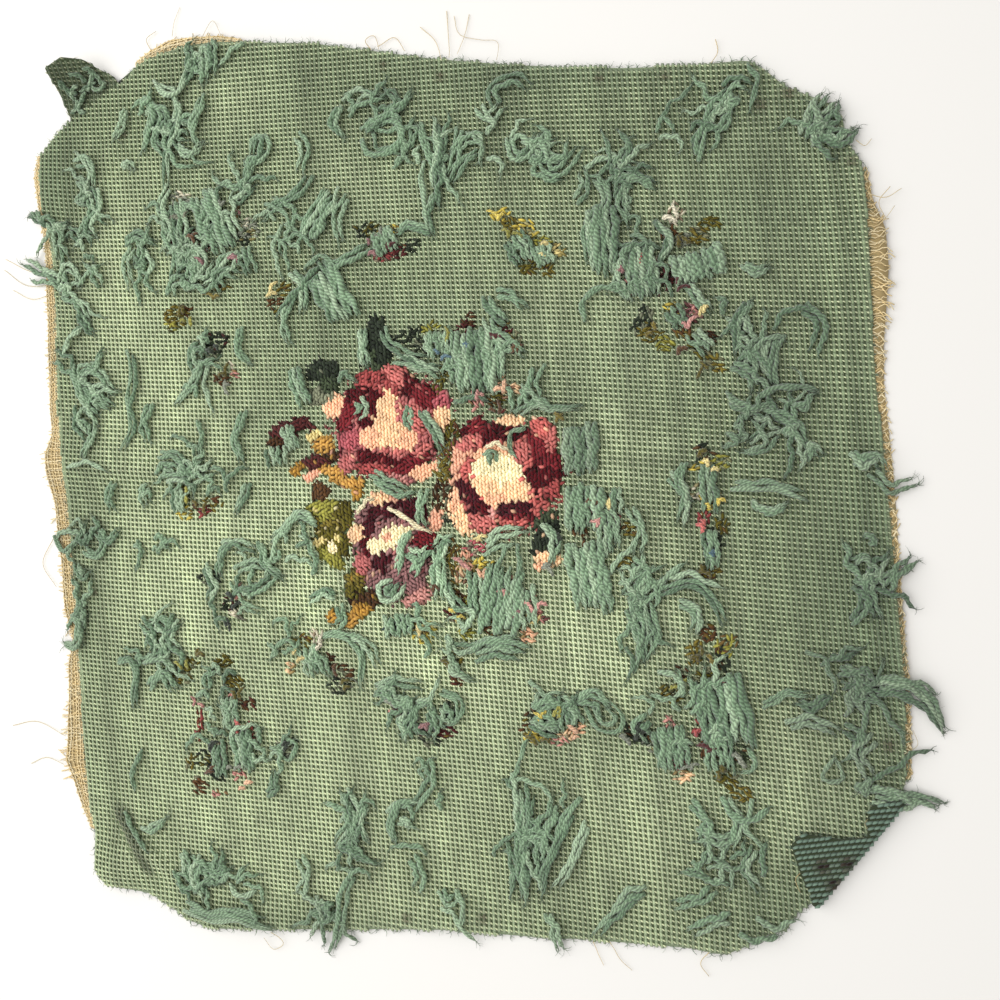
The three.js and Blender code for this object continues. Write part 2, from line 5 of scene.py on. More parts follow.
import bpy
import numpy as np
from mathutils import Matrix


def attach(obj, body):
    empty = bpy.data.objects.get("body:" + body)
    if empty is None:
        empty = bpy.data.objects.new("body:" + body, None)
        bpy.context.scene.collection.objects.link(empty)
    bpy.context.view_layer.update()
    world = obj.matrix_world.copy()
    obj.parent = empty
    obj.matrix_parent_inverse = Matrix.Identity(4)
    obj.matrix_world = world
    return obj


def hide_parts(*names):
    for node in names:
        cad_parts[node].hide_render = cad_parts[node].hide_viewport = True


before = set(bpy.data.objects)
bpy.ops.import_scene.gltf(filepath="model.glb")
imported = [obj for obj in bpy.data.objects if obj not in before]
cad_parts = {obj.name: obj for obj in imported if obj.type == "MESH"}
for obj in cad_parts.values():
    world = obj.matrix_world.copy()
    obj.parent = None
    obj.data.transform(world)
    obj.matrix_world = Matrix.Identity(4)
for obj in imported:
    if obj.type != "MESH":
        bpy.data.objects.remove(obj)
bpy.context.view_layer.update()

bl_info = {
    "name": "Needlepoint Panel",
    "version": (1, 0, 0),
    "blender": (4, 5, 0),
    "location": "View3D > Sidebar > Needlepoint",
    "description": "Builds the stitched ground, bouquet, loose yarn and margins of a needlepoint panel",
    "category": "Object",
}

# Lengths in the tables are millimetres, as a maker would give them
MILLIMETRE = 0.001
BODY = "root"


def table(columns, *rows):
    """Rows of values as records with the given column names."""
    names = columns.split()
    return [SimpleNamespace(**dict(zip(names, row))) for row in rows]


def linear(code):
    """Scene colour of a six-digit colour code: each channel undone from its display curve."""
    shades = np.array([int(code[place:place + 2], 16) for place in (0, 2, 4)]) / 255
    return tuple(np.where(shades <= 0.04045, shades / 12.92, ((shades + 0.055) / 1.055) ** 2.4))


# Edges of the worked ground, clockwise from the bottom left; bare is the unworked canvas beyond
EDGE_COLUMNS = "x y bare"
LEFT_EDGE = table(
    EDGE_COLUMNS,
    (-195.5, -202, 0), (-196, -192, 3), (-199, -180, 6), (-201, -165, 10), (-202, -155, 15),
    (-203, -140, 12), (-204.5, -120, 10), (-206, -100, 8), (-207, -88, 4), (-208, -70, 8.5),
    (-210.5, -40, 9), (-213.5, -10, 10), (-214.5, 5, 13), (-215.5, 18, 14), (-218.5, 30, 6), (-220, 45, 6),
    (-221, 100, 7), (-224, 140, 5), (-227, 158, 5), (-230, 175, 5), (-230, 187, 3), (-222, 197, 0),
)
TOP_EDGE = table(
    EDGE_COLUMNS,
    (-174, 227, 0), (-171, 231.5, 3), (-163, 235, 5), (-150, 238, 6.5), (-135, 239.5, 5.5),
    (-120, 239.5, 4), (-105, 237.5, 2), (-65, 233.5, 0), (-35, 227, 0), (0, 219, 0), (40, 211.5, 0),
    (70, 207, 0), (100, 204, 0), (130, 202.5, 0), (158, 202.5, 0), (166, 197, 0), (175, 188.5, 0),
    (196, 178, 0), (201, 172, 0), (203, 160, 0), (208, 152, 0),
)
RIGHT_EDGE = table(
    EDGE_COLUMNS,
    (210, 146, 2), (211, 132, 4), (212, 118, 9), (213, 100, 9.5), (213.5, 85, 8), (214.5, 65, 5.5),
    (216, 45, 4), (220, 5, 4), (222, -15, 3.5), (224, -40, 2.5), (227, -80, 2.5), (229, -120, 3),
    (229, -138, 2.5),
)
BOTTOM_EDGE = table(
    EDGE_COLUMNS,
    (181, -203, 0), (176, -212, 0), (165, -216, 0), (157, -221.5, 0), (147, -226.5, 0), (132, -225, 0),
    (80, -226, 0), (55, -227.5, 0), (8, -227.5, 0), (-55, -234.5, 0), (-105, -238, 0), (-125, -240, 0),
    (-138, -237, 0), (-149, -231, 0), (-162, -224.5, 0), (-188, -220.5, 0), (-194, -213, 0),
)

# Soft swells of the cloth, then the narrower creases left by its years on the seat
RIDGE_COLUMNS = "x y turn half_length half_width rise"
SWELLS = table(
    RIDGE_COLUMNS,
    (-205, 12, 0, 62, 24, 3), (150, 14, 0, 90, 24, 2.5), (-228, 160, 90, 42, 24, 4),
    (214, 110, 90, 80, 26, 3), (229, -80, 90, 58, 30, 2.6), (-178, -210, 30, 42, 24, 5),
    (-105, -234, 0, 44, 18, 2.5), (10, -226, 0, 40, 16, 2), (-110, 236, -5, 62, 18, 2),
    (60, 208, -4, 80, 18, 1.5), (150, -214, 30, 32, 20, 2),
)
CREASES = table(
    RIDGE_COLUMNS,
    (-170, 8, -3, 70, 7, 0.9), (150, 20, -2, 95, 6, 1.0), (90, 5, -3, 60, 8, 0.7),
    (-190, 180, 65, 40, 7, 0.8), (150, 186, -30, 60, 8, 0.9), (200, 40, 88, 80, 9, 0.8),
    (-172, -192, -52, 30, 5, 2.6), (-156, -205, -50, 26, 6, 1.6), (-60, -210, 4, 60, 8, 0.8),
    (176, -170, 52, 50, 10, 1.2), (-100, 222, -6, 70, 8, 0.7), (60, 190, -5, 90, 9, 0.6),
)

# Bent corners: the bend line, its radius and angle, and the flat length at places along the line
CURL = SimpleNamespace(
    x=-211, y=206, heading=30, radius=20, angle=60,
    rows=table("along length", (0, 3), (7, 29), (18, 28.5), (26, 21), (29, 13), (34, 5)),
)
FOLD_RADIUS = 2
FOLD_ANGLE = 182.5
FOLD_BEND = FOLD_RADIUS * np.radians(FOLD_ANGLE)
PAST_FOLD = (
    (0.5, 0.6), (11, 8.5), (17, 5.7), (23, 0.6), (32, 9.3), (41, 23.5), (49, 24), (58, 11), (61, 3.5),
    (64.5, 0.6),
)
FOLD = SimpleNamespace(
    x=226.5, y=-146.1, heading=-126.87, radius=FOLD_RADIUS, angle=FOLD_ANGLE,
    rows=table("along length", *((along, FOLD_BEND + past) for along, past in PAST_FOLD)),
)

# Dyes of the coloured wools
WOOLS = {
    "burgundy": "581219", "wine": "80282e", "plum": "4f1820", "rose": "b35653", "dusty": "c67672",
    "salmon": "d67e76", "coral": "da766e", "pink": "dc9f94", "magenta": "c0666c", "mauve": "a07472",
    "peach": "ecb496", "shell": "fbc8a2", "cream": "fdd6aa", "ivory": "fff2c6", "straw": "efdc97",
    "yellow": "e2cc60", "mustard": "d6a656", "ochre": "bd9040", "lime": "a3a04a", "olive": "7d7030",
    "moss": "675f22", "brown": "66472a", "rust": "50351f", "maroon": "5a2a28", "pine": "46523a",
    "black": "30392b", "slate": "5c7884", "grey": "8f9482", "red": "9a4a48", "faded": "8a8e74",
    "white": "e8e0c6",
}

# Worked patches, later rows over earlier ones: half sizes, and the turn of the long side in degrees
PATCH_COLUMNS = "x y long wide turn wool"
BOUQUET_ROWS = {
    "rose_upper": (
        (-22, 31, 30, 28, 0, "dusty"), (-22, 54, 13, 9, 0, "salmon"), (-33, 53, 9, 8, 30, "rose"),
        (-45, 36, 13, 5, 80, "wine"), (-33, 40, 13, 6, 75, "burgundy"), (-40, 46, 6, 6, 0, "burgundy"),
        (-24, 50, 9, 4, -15, "rose"), (-11, 51, 7, 4, 90, "burgundy"), (-3, 45, 9, 6, -30, "wine"),
        (-8, 33, 6, 10, 10, "salmon"), (6, 42, 7, 5, 80, "magenta"), (-44, 22, 9, 6, 60, "magenta"),
        (-53, 42, 7, 6, 60, "shell"), (6, 34, 6, 5, 90, "cream"), (-23, 37, 12, 6, 88, "cream"),
        (-22, 25, 14, 9, 0, "cream"), (-33, 24, 6, 6, 0, "shell"), (-12, 23, 6, 6, 0, "shell"),
        (-30, 13, 19, 4, -10, "burgundy"), (-7, 14, 9, 4, 28, "wine"), (-20, 17, 9, 2, -4, "salmon"),
        (-45, 12, 7, 5, 60, "dusty"), (-27, 7, 16, 4, -10, "rose"), (-14, 8, 7, 3, 10, "wine"),
        (-4, 18, 6, 3, 30, "salmon"), (-6, 6, 10, 4, 28, "shell"), (-17, 3, 8, 3, -8, "pink"),
    ),
    "rose_right": (
        (39, 4, 29, 28, 0, "coral"), (30, 26, 15, 5, -4, "burgundy"), (24, 28, 6, 5, 60, "wine"),
        (43, 26, 8, 4, 4, "burgundy"), (57, 19, 11, 6, 110, "wine"), (63, 11, 8, 5, 80, "wine"),
        (58, 3, 12, 6, 10, "burgundy"), (58, 28, 8, 5, -40, "coral"), (63, 22, 8, 3, 80, "salmon"),
        (64, -3, 6, 4, 60, "rose"), (17, 16, 8, 6, 80, "peach"), (21, 21, 8, 4, 20, "salmon"),
        (14, 5, 9, 4, 85, "peach"), (20, 8, 6, 4, 70, "coral"), (37, 15, 13, 6, 4, "shell"),
        (48, 16, 5, 6, 0, "salmon"), (35, 4, 14, 11, 0, "ivory"), (29, -2, 9, 6, -30, "cream"),
        (44, -5, 9, 7, 20, "cream"), (35, -10, 7, 5, 0, "shell"), (21, -6, 12, 4.5, -52, "plum"),
        (29, -13, 7, 3, -20, "burgundy"), (45, -13, 9, 5, 4, "plum"), (33, -15, 2, 4, 0, "pink"),
        (46, -17, 9, 2.5, 4, "wine"), (28, -20, 9, 5, -8, "salmon"), (44, -20, 8, 3, 6, "coral"),
        (15, -16, 12, 5, -62, "cream"), (13, -8, 6, 3, 80, "shell"), (42, 32, 7, 3, 4, "cream"),
    ),
    "rose_lower": (
        (-21, -32, 27, 22, 90, "mauve"), (-21, -8, 12, 4, -8, "peach"), (-29, -9, 7, 4, 10, "cream"),
        (-36, -15, 7, 5, 60, "mauve"), (-27, -15, 9, 5, 20, "plum"), (-10, -13, 9, 6, -15, "plum"),
        (-35, -24, 8, 5, 60, "plum"), (-35, -33, 8, 4, 90, "burgundy"), (-3, -29, 7, 6, 0, "wine"),
        (-20, -20, 7, 3, 10, "mauve"), (-20, -27, 11, 6, 18, "ivory"), (-28, -32, 6, 5, 0, "ivory"),
        (-23, -27, 3, 2, 0, "peach"), (-41, -26, 5, 5, 0, "cream"), (-25, -41, 6, 6, 0, "plum"),
        (-37, -41, 7, 5, 80, "dusty"), (-12, -44, 12, 7, 10, "mauve"), (-9, -52, 8, 6, 20, "mauve"),
        (-7, -58, 10, 4, 22, "pink"), (3, -18, 6, 4, 80, "peach"),
    ),
    "leaf_dark_upper": (
        (-30, 67, 8, 9, 90, "pine"), (-29, 78, 10, 6, 95, "black"), (-25, 69, 8, 4, 70, "black"),
    ),
    "leaf_dark_left": (
        (-59, 47, 9, 5, 10, "faded"), (-59, 60, 10, 6, 8, "black"), (-56, 53, 6, 5, 0, "pine"),
    ),
    "leaf_maroon": (
        (-82, 27, 9, 6, 20, "maroon"), (-73, 32, 6, 4, 20, "maroon"), (-86, 22, 5, 4, 0, "rust"),
        (-66, 31, 3, 2, 0, "maroon"),
    ),
    "leaf_mustard": (
        (-63, 12, 9, 4, 10, "maroon"), (-55, 16, 6, 3, -20, "rust"), (-59, 21, 6, 5, 0, "mustard"),
        (-64, 26, 5, 2.5, 20, "straw"), (-53, 6, 9, 4, -25, "mustard"), (-74, 8, 5, 2.5, 40, "ochre"),
        (-43, 1, 9, 3, 0, "mustard"), (-66, 5, 6, 2, 30, "peach"), (-61, -4, 5, 5, 0, "brown"),
        (-40, -5, 3, 4, 0, "ochre"),
    ),
    "leaf_olive": (
        (-57, -13, 12, 5, -4, "lime"), (-48, -18, 9, 6, 80, "moss"), (-57, -20, 8, 6, 0, "olive"),
        (-58, -17, 4, 3, 0, "lime"), (-54, -30, 11, 8, -30, "moss"), (-55, -38, 9, 4, -30, "lime"),
        (-61, -30, 4, 2.5, 20, "straw"), (-54, -33, 2.5, 3.5, 0, "ivory"), (-51, -28, 2, 2.5, 0, "straw"),
    ),
    "leaf_brown": (
        (-41, -50, 6, 6, 0, "olive"), (-42, -57, 7, 5, -40, "moss"), (-34, -60, 9, 5, 10, "rust"),
        (-38, -66, 8, 4, 25, "ochre"), (-44, -71, 5, 4, 60, "mustard"), (-53, -69, 4, 4, 0, "ochre"),
    ),
    "leaf_black": (
        (60, -18, 7, 5, 40, "pine"), (61, -26, 9, 6, 60, "black"), (57, -32, 5, 4, 60, "black"),
        (61, -38, 7, 4, 0, "cream"), (56, -41, 3, 2, 0, "shell"),
    ),
}
BOUQUET = {name: table(PATCH_COLUMNS, *rows) for name, rows in BOUQUET_ROWS.items()}

# Coloured stitches of the sprays and of the gaps in the bouquet
SPRAYS = table(
    PATCH_COLUMNS,
    (11, 27, 6, 4, 80, "moss"), (8, 15, 8, 3, 90, "olive"), (7, 6, 5, 4, 0, "olive"),
    (6, -6, 8, 5, 90, "rust"), (10, -18, 4, 3, 90, "black"), (5, 52, 6, 3, 60, "moss"),
    (-17, -72, 8, 4, 0, "slate"), (-20, -74, 3, 3, 0, "black"), (-4, -76, 5, 5, 60, "yellow"),
    (-3, -73, 3, 3, 0, "straw"), (-6, 71, 4, 4, 0, "black"), (10, 73, 6, 3, -30, "slate"),
    (0, 80, 4, 3, 0, "lime"), (-12, 77, 7, 3, 20, "black"), (17, 80, 4, 4, 0, "maroon"),
    (20, 84, 3, 3, 0, "rust"), (38, 78, 4, 3, 0, "maroon"), (44, 73, 4, 3, 90, "olive"),
    (10, 57, 4, 4, 0, "moss"), (24, 43, 4, 3, 90, "pink"), (36, 55, 4, 3, 40, "shell"),
    (42, 47, 5, 3, 0, "cream"), (34, 42, 5, 3, 0, "moss"), (24, 57, 3, 2, 90, "yellow"),
    (27, 65, 3, 2, 90, "mauve"), (24, -32, 5, 4, 20, "magenta"), (20, -38, 5, 2, -60, "peach"),
    (28, -43, 5, 5, 30, "yellow"), (18, -46, 5, 4, 90, "cream"), (12, -38, 9, 3, 90, "olive"),
    (14, -56, 6, 4, -60, "rust"), (43, -53, 6, 2, 90, "pink"), (50, -57, 6, 1.4, 0, "pink"),
    (36, -58, 3, 2, 0, "magenta"), (54, -67, 3, 3, 0, "straw"), (57, -66, 3, 3, 0, "pink"),
    (21, -60, 3, 3, 0, "lime"), (32, -72, 4, 4, 0, "brown"), (13, -66, 4, 3, 0, "maroon"),
    (19, -75, 3, 3, 0, "lime"), (51, -76, 4, 3, 0, "shell"), (85, -15, 3, 2, 90, "pink"),
    (95, -18, 3, 2, 90, "magenta"), (103, -22, 4, 3, 0, "olive"), (100, -39, 3, 3, 0, "olive"),
    (78, -24, 5, 3, -60, "brown"), (88, -8, 3, 2, 0, "rust"), (-143, 155, 6, 4, -20, "grey"),
    (-141, 157, 3, 3, 0, "white"), (-150, 145, 6, 4, 60, "brown"), (-146, 135, 4, 3, 0, "maroon"),
    (-138, 138, 4, 3, 40, "maroon"), (-130, 130, 5, 3, 0, "mauve"), (-128, 128, 3, 2, 0, "red"),
    (-145, 92, 6, 5, 0, "olive"), (-148, 88, 4, 3, 0, "lime"), (-139, 95, 3, 3, 0, "brown"),
    (-118, 107, 4, 3, 30, "olive"), (-103, 137, 6, 5, 0, "grey"), (-101, 140, 3, 3, 0, "white"),
    (-104, 132, 4, 3, 0, "black"), (-110, 146, 4, 2, 60, "mauve"), (-125, 113, 3, 3, 0, "brown"),
    (-87, 97, 4, 3, 0, "brown"), (-80, 104, 4, 3, 0, "olive"), (-84, 92, 3, 2, 0, "olive"),
    (-72, 108, 3, 2, 0, "rust"), (-25, 119, 5, 3, 10, "red"), (-35, 133, 5, 4, 0, "black"),
    (-10, 123, 4, 3, 0, "black"), (-20, 133, 4, 3, 0, "yellow"), (-17, 121, 4, 3, 20, "maroon"),
    (-30, 128, 4, 3, 0, "olive"), (50, 128, 6, 4, -20, "yellow"), (37, 136, 4, 3, 0, "yellow"),
    (42, 130, 4, 3, -40, "olive"), (57, 121, 4, 3, 0, "lime"), (60, 107, 4, 3, 0, "olive"),
    (52, 110, 6, 4, 0, "moss"), (66, 116, 3, 3, 0, "straw"), (120, 122, 5, 3, -60, "brown"),
    (135, 120, 5, 3, 0, "olive"), (140, 125, 4, 3, 0, "moss"), (102, 99, 4, 3, 90, "pink"),
    (118, 98, 5, 4, 60, "maroon"), (124, 131, 5, 3, 90, "white"), (128, 118, 3, 3, 0, "grey"),
    (112, 108, 3, 2, 0, "mauve"), (108, 80, 6, 4, 60, "black"), (112, 74, 5, 4, 0, "olive"),
    (123, 84, 4, 3, 0, "yellow"), (130, 82, 5, 4, 0, "mauve"), (134, 84, 3, 3, 0, "pink"),
    (127, 74, 6, 3, -45, "brown"), (135, 66, 6, 3, -45, "moss"), (143, 58, 5, 3, -45, "olive"),
    (118, 68, 4, 3, 0, "lime"), (140, 70, 3, 3, 0, "rust"), (-121, 77, 6, 5, 0, "black"),
    (-112, 65, 4, 2, 90, "white"), (-110, 60, 3, 2, 0, "pink"), (-118, 57, 4, 3, 0, "brown"),
    (-124, 70, 4, 4, 0, "pine"), (-143, -5, 5, 4, 0, "olive"), (-140, -15, 4, 3, 0, "yellow"),
    (-123, -10, 5, 3, 0, "olive"), (-128, -14, 3, 3, 0, "red"), (-135, -12, 3, 2, 0, "brown"),
    (-107, -57, 4, 2, 70, "pink"), (-125, -50, 5, 3, 0, "black"), (-122, -46, 3, 2, 0, "white"),
    (-108, -70, 4, 3, 0, "white"), (-113, -64, 4, 3, 0, "black"), (138, 15, 4, 4, 0, "black"),
    (135, 8, 3, 3, 0, "yellow"), (145, 10, 4, 3, 0, "lime"), (140, -8, 4, 4, 0, "yellow"),
    (138, -16, 4, 3, 90, "red"), (142, -28, 5, 4, 90, "black"), (140, -42, 4, 4, 0, "olive"),
    (146, -20, 4, 3, 90, "moss"), (134, -4, 3, 3, 0, "white"), (-142, -104, 5, 4, 0, "olive"),
    (-136, -98, 4, 3, 0, "moss"), (-117, -95, 4, 3, 0, "moss"), (-111, -107, 5, 4, 0, "olive"),
    (-103, -117, 4, 3, 0, "brown"), (-131, -130, 7, 3, 90, "red"), (-101, -132, 4, 3, 90, "red"),
    (-112, -117, 4, 3, 90, "pink"), (-131, -163, 4, 4, 0, "brown"), (-128, -148, 5, 4, 0, "black"),
    (-120, -155, 5, 4, 0, "black"), (-118, -144, 5, 3, 90, "white"), (-108, -155, 3, 3, 0, "pink"),
    (-120, -166, 4, 2, 0, "pink"), (-137, -150, 4, 3, 90, "olive"), (-80, -140, 5, 5, 0, "grey"),
    (-77, -138, 3, 3, 0, "black"), (-84, -146, 3, 3, 0, "black"), (-70, -82, 4, 3, 0, "olive"),
    (-63, -80, 4, 3, 90, "white"), (-78, -97, 3, 3, 0, "cream"), (-47, -98, 4, 3, 0, "brown"),
    (-50, -105, 5, 4, 0, "black"), (-44, -104, 3, 3, 0, "grey"), (-55, -92, 3, 3, 0, "rust"),
    (-17, -118, 4, 3, 0, "pink"), (-5, -125, 4, 3, 0, "maroon"), (8, -126, 4, 3, 0, "maroon"),
    (0, -131, 5, 3, 0, "black"), (10, -115, 4, 4, 0, "black"), (-10, -120, 3, 3, 0, "grey"),
    (12, -90, 4, 3, 0, "olive"), (15, -99, 3, 3, 0, "brown"), (55, -117, 5, 3, 0, "black"),
    (62, -123, 4, 3, 0, "black"), (55, -127, 5, 3, 0, "yellow"), (70, -125, 4, 2, 0, "cream"),
    (76, -121, 3, 3, 0, "shell"), (66, -128, 4, 2, 0, "pink"), (49, -122, 3, 3, 0, "olive"),
    (105, -122, 6, 4, -30, "black"), (112, -127, 4, 3, 0, "grey"), (122, -117, 4, 3, 90, "pink"),
    (125, -135, 4, 3, 0, "magenta"), (128, -142, 4, 3, 0, "cream"), (136, -119, 3, 3, 0, "red"),
    (140, -128, 5, 4, 90, "brown"), (155, -130, 4, 4, 0, "pine"), (155, -148, 5, 3, -20, "olive"),
    (148, -142, 4, 4, 0, "moss"), (133, -82, 5, 4, 60, "olive"), (140, -72, 4, 4, 0, "brown"),
    (122, -102, 5, 4, 0, "olive"), (148, -78, 5, 4, 60, "lime"), (145, -85, 6, 4, 60, "black"),
    (147, -98, 3, 3, 0, "pink"), (138, -92, 4, 3, 0, "moss"), (127, -92, 3, 3, 0, "rust"),
)

# Yarns carried side by side across the back, then smaller patches of the same
FLOAT_COLUMNS = "x y heading length width ridges"
FLOATS = table(
    "name " + FLOAT_COLUMNS,
    ("floats_spray_top_left", -121, 142, -62, 34, 16, 5),
    ("floats_top_left_inner", -61, 142, 60, 26, 12, 4), ("floats_left_of_centre", -53, 99, -58, 30, 17, 5),
    ("floats_bud_top", -24, 126, -70, 14, 12, 4), ("floats_spray_top_right", 108, 104, -78, 28, 15, 5),
    ("floats_top_right_inner", 89, 120, -86, 34, 15, 5), ("floats_top_right_row", 135, 105, -75, 15, 25, 7),
    ("floats_side_upper", 78, 17, -88, 26, 17, 6), ("floats_side_middle", 80, -12, -88, 24, 19, 6),
    ("floats_side_lower", 82, -46, -80, 36, 19, 6), ("floats_spray_right_a", 122, -128, -80, 22, 17, 6),
    ("floats_spray_right_b", 147, -110, -78, 34, 24, 7),
    ("floats_spray_low_left", -104, -143, -80, 26, 12, 4), ("floats_above_rose", 24, 62, -84, 32, 20, 6),
    ("floats_below_rose", 38, -58, 82, 34, 20, 6),
)
SMALL_FLOATS = table(
    FLOAT_COLUMNS,
    (5, 72, -80, 14, 16, 6), (-17, -73, -80, 12, 16, 5), (70, -114, -70, 16, 16, 5),
    (-142, 142, -75, 26, 10, 3), (-133, 122, -80, 22, 8, 3), (-102, 120, -70, 16, 9, 3),
    (125, 80, -60, 12, 10, 3), (136, 68, -50, 14, 9, 3), (140, -2, -88, 26, 8, 3),
    (141, -32, -86, 20, 8, 3), (-143, -8, -80, 16, 8, 3), (-65, -93, -70, 16, 12, 4),
    (-112, -122, -85, 20, 10, 4), (-118, -148, -85, 20, 8, 3), (8, -118, -60, 12, 10, 3),
    (-12, -124, -70, 14, 10, 3), (60, -120, -20, 14, 10, 4), (47, 118, -60, 16, 14, 5),
    (59, 114, -70, 12, 10, 4), (145, -128, -82, 24, 14, 5), (108, -70, -80, 30, 10, 3),
    (90, -25, -85, 20, 8, 3), (96, -8, -88, 14, 6, 2), (26, -55, -86, 24, 12, 4), (50, -62, -84, 20, 12, 4),
    (-77, 25, -70, 14, 7, 3), (-85, 15, -80, 12, 14, 4), (34, 66, -84, 26, 10, 4), (12, 60, -80, 18, 6, 2),
    (-72, 52, -70, 22, 9, 3), (-36, 72, -85, 22, 5, 2),
)

# Bunches of loose ends: two_way sends every other strand the opposite way from the knot
TAILS = table(
    "name x y heading spread count length bend two_way",
    ("tails_left_edge_high", -216, 146, 215, 130, 3, 19, 15, 0),
    ("tails_left_edge", -213, 110, 60, 200, 4, 26, 10, 0),
    ("tails_left_chain", -199, 163, 95, 40, 4, 24, 60, 1),
    ("tails_top_loops", -149, 195, 80, 60, 4, 30, 100, 1),
    ("tails_top_hooks", -134, 228, 40, 150, 4, 13, -80, 0),
    ("tails_spray_left", -166, 122, 88, 40, 4, 18, 20, 1),
    ("tails_spray_low", -138, 110, 20, 110, 4, 18, 90, 0),
    ("tails_spray_right", -103, 160, 110, 150, 4, 20, -50, 0),
    ("tails_top_middle", -31, 186, -10, 150, 4, 24, 100, 0),
    ("tails_top_bundle", 6, 166, 95, 44, 5, 24, 14, 1), ("tails_top_curls", 55, 163, 0, 190, 4, 20, 100, 0),
    ("tails_top_arch", 94, 152, 30, 90, 4, 19, -30, 0),
    ("tails_right_top_edge", 150, 182, 215, 100, 4, 20, -40, 0),
    ("tails_corner_top_right", 190, 165, 20, 240, 5, 16, 70, 0),
    ("tails_right_upper", 160, 62, 80, 60, 5, 19, 40, 1),
    ("tails_right_crease", 178, 26, 110, 60, 5, 20, -40, 1),
    ("tails_right_edge", 212, -48, 60, 140, 4, 19, -40, 0),
    ("tails_right_long", 210, -95, -20, 110, 4, 36, -60, 0),
    ("tails_right_low", 211, -141, 20, 50, 2, 30, -20, 0),
    ("tails_left_middle", -203, 58, -55, 50, 5, 22, 30, 1),
    ("tails_left_loop", -202, -30, 100, 180, 4, 20, 120, 0),
    ("tails_left_low", -203, -70, 250, 60, 4, 16, 20, 1),
    ("tails_left_spray", -138, 6, 20, 70, 6, 17, 30, 1),
    ("tails_low_left", -152, -92, 90, 70, 6, 19, 50, 1),
    ("tails_bottom_left", -122, -213, 75, 140, 5, 18, 60, 0),
    ("tails_low_spray", -12, -113, 210, 160, 5, 18, 40, 0),
    ("tails_low_middle", -42, -180, 80, 50, 5, 20, 60, 1),
    ("tails_bottom_edge", -55, -222, 230, 150, 4, 20, 10, 0),
    ("tails_low_right", 50, -180, 80, 50, 6, 26, 12, 1),
    ("tails_right_of_centre", 106, -62, 80, 80, 6, 22, 30, 1),
)

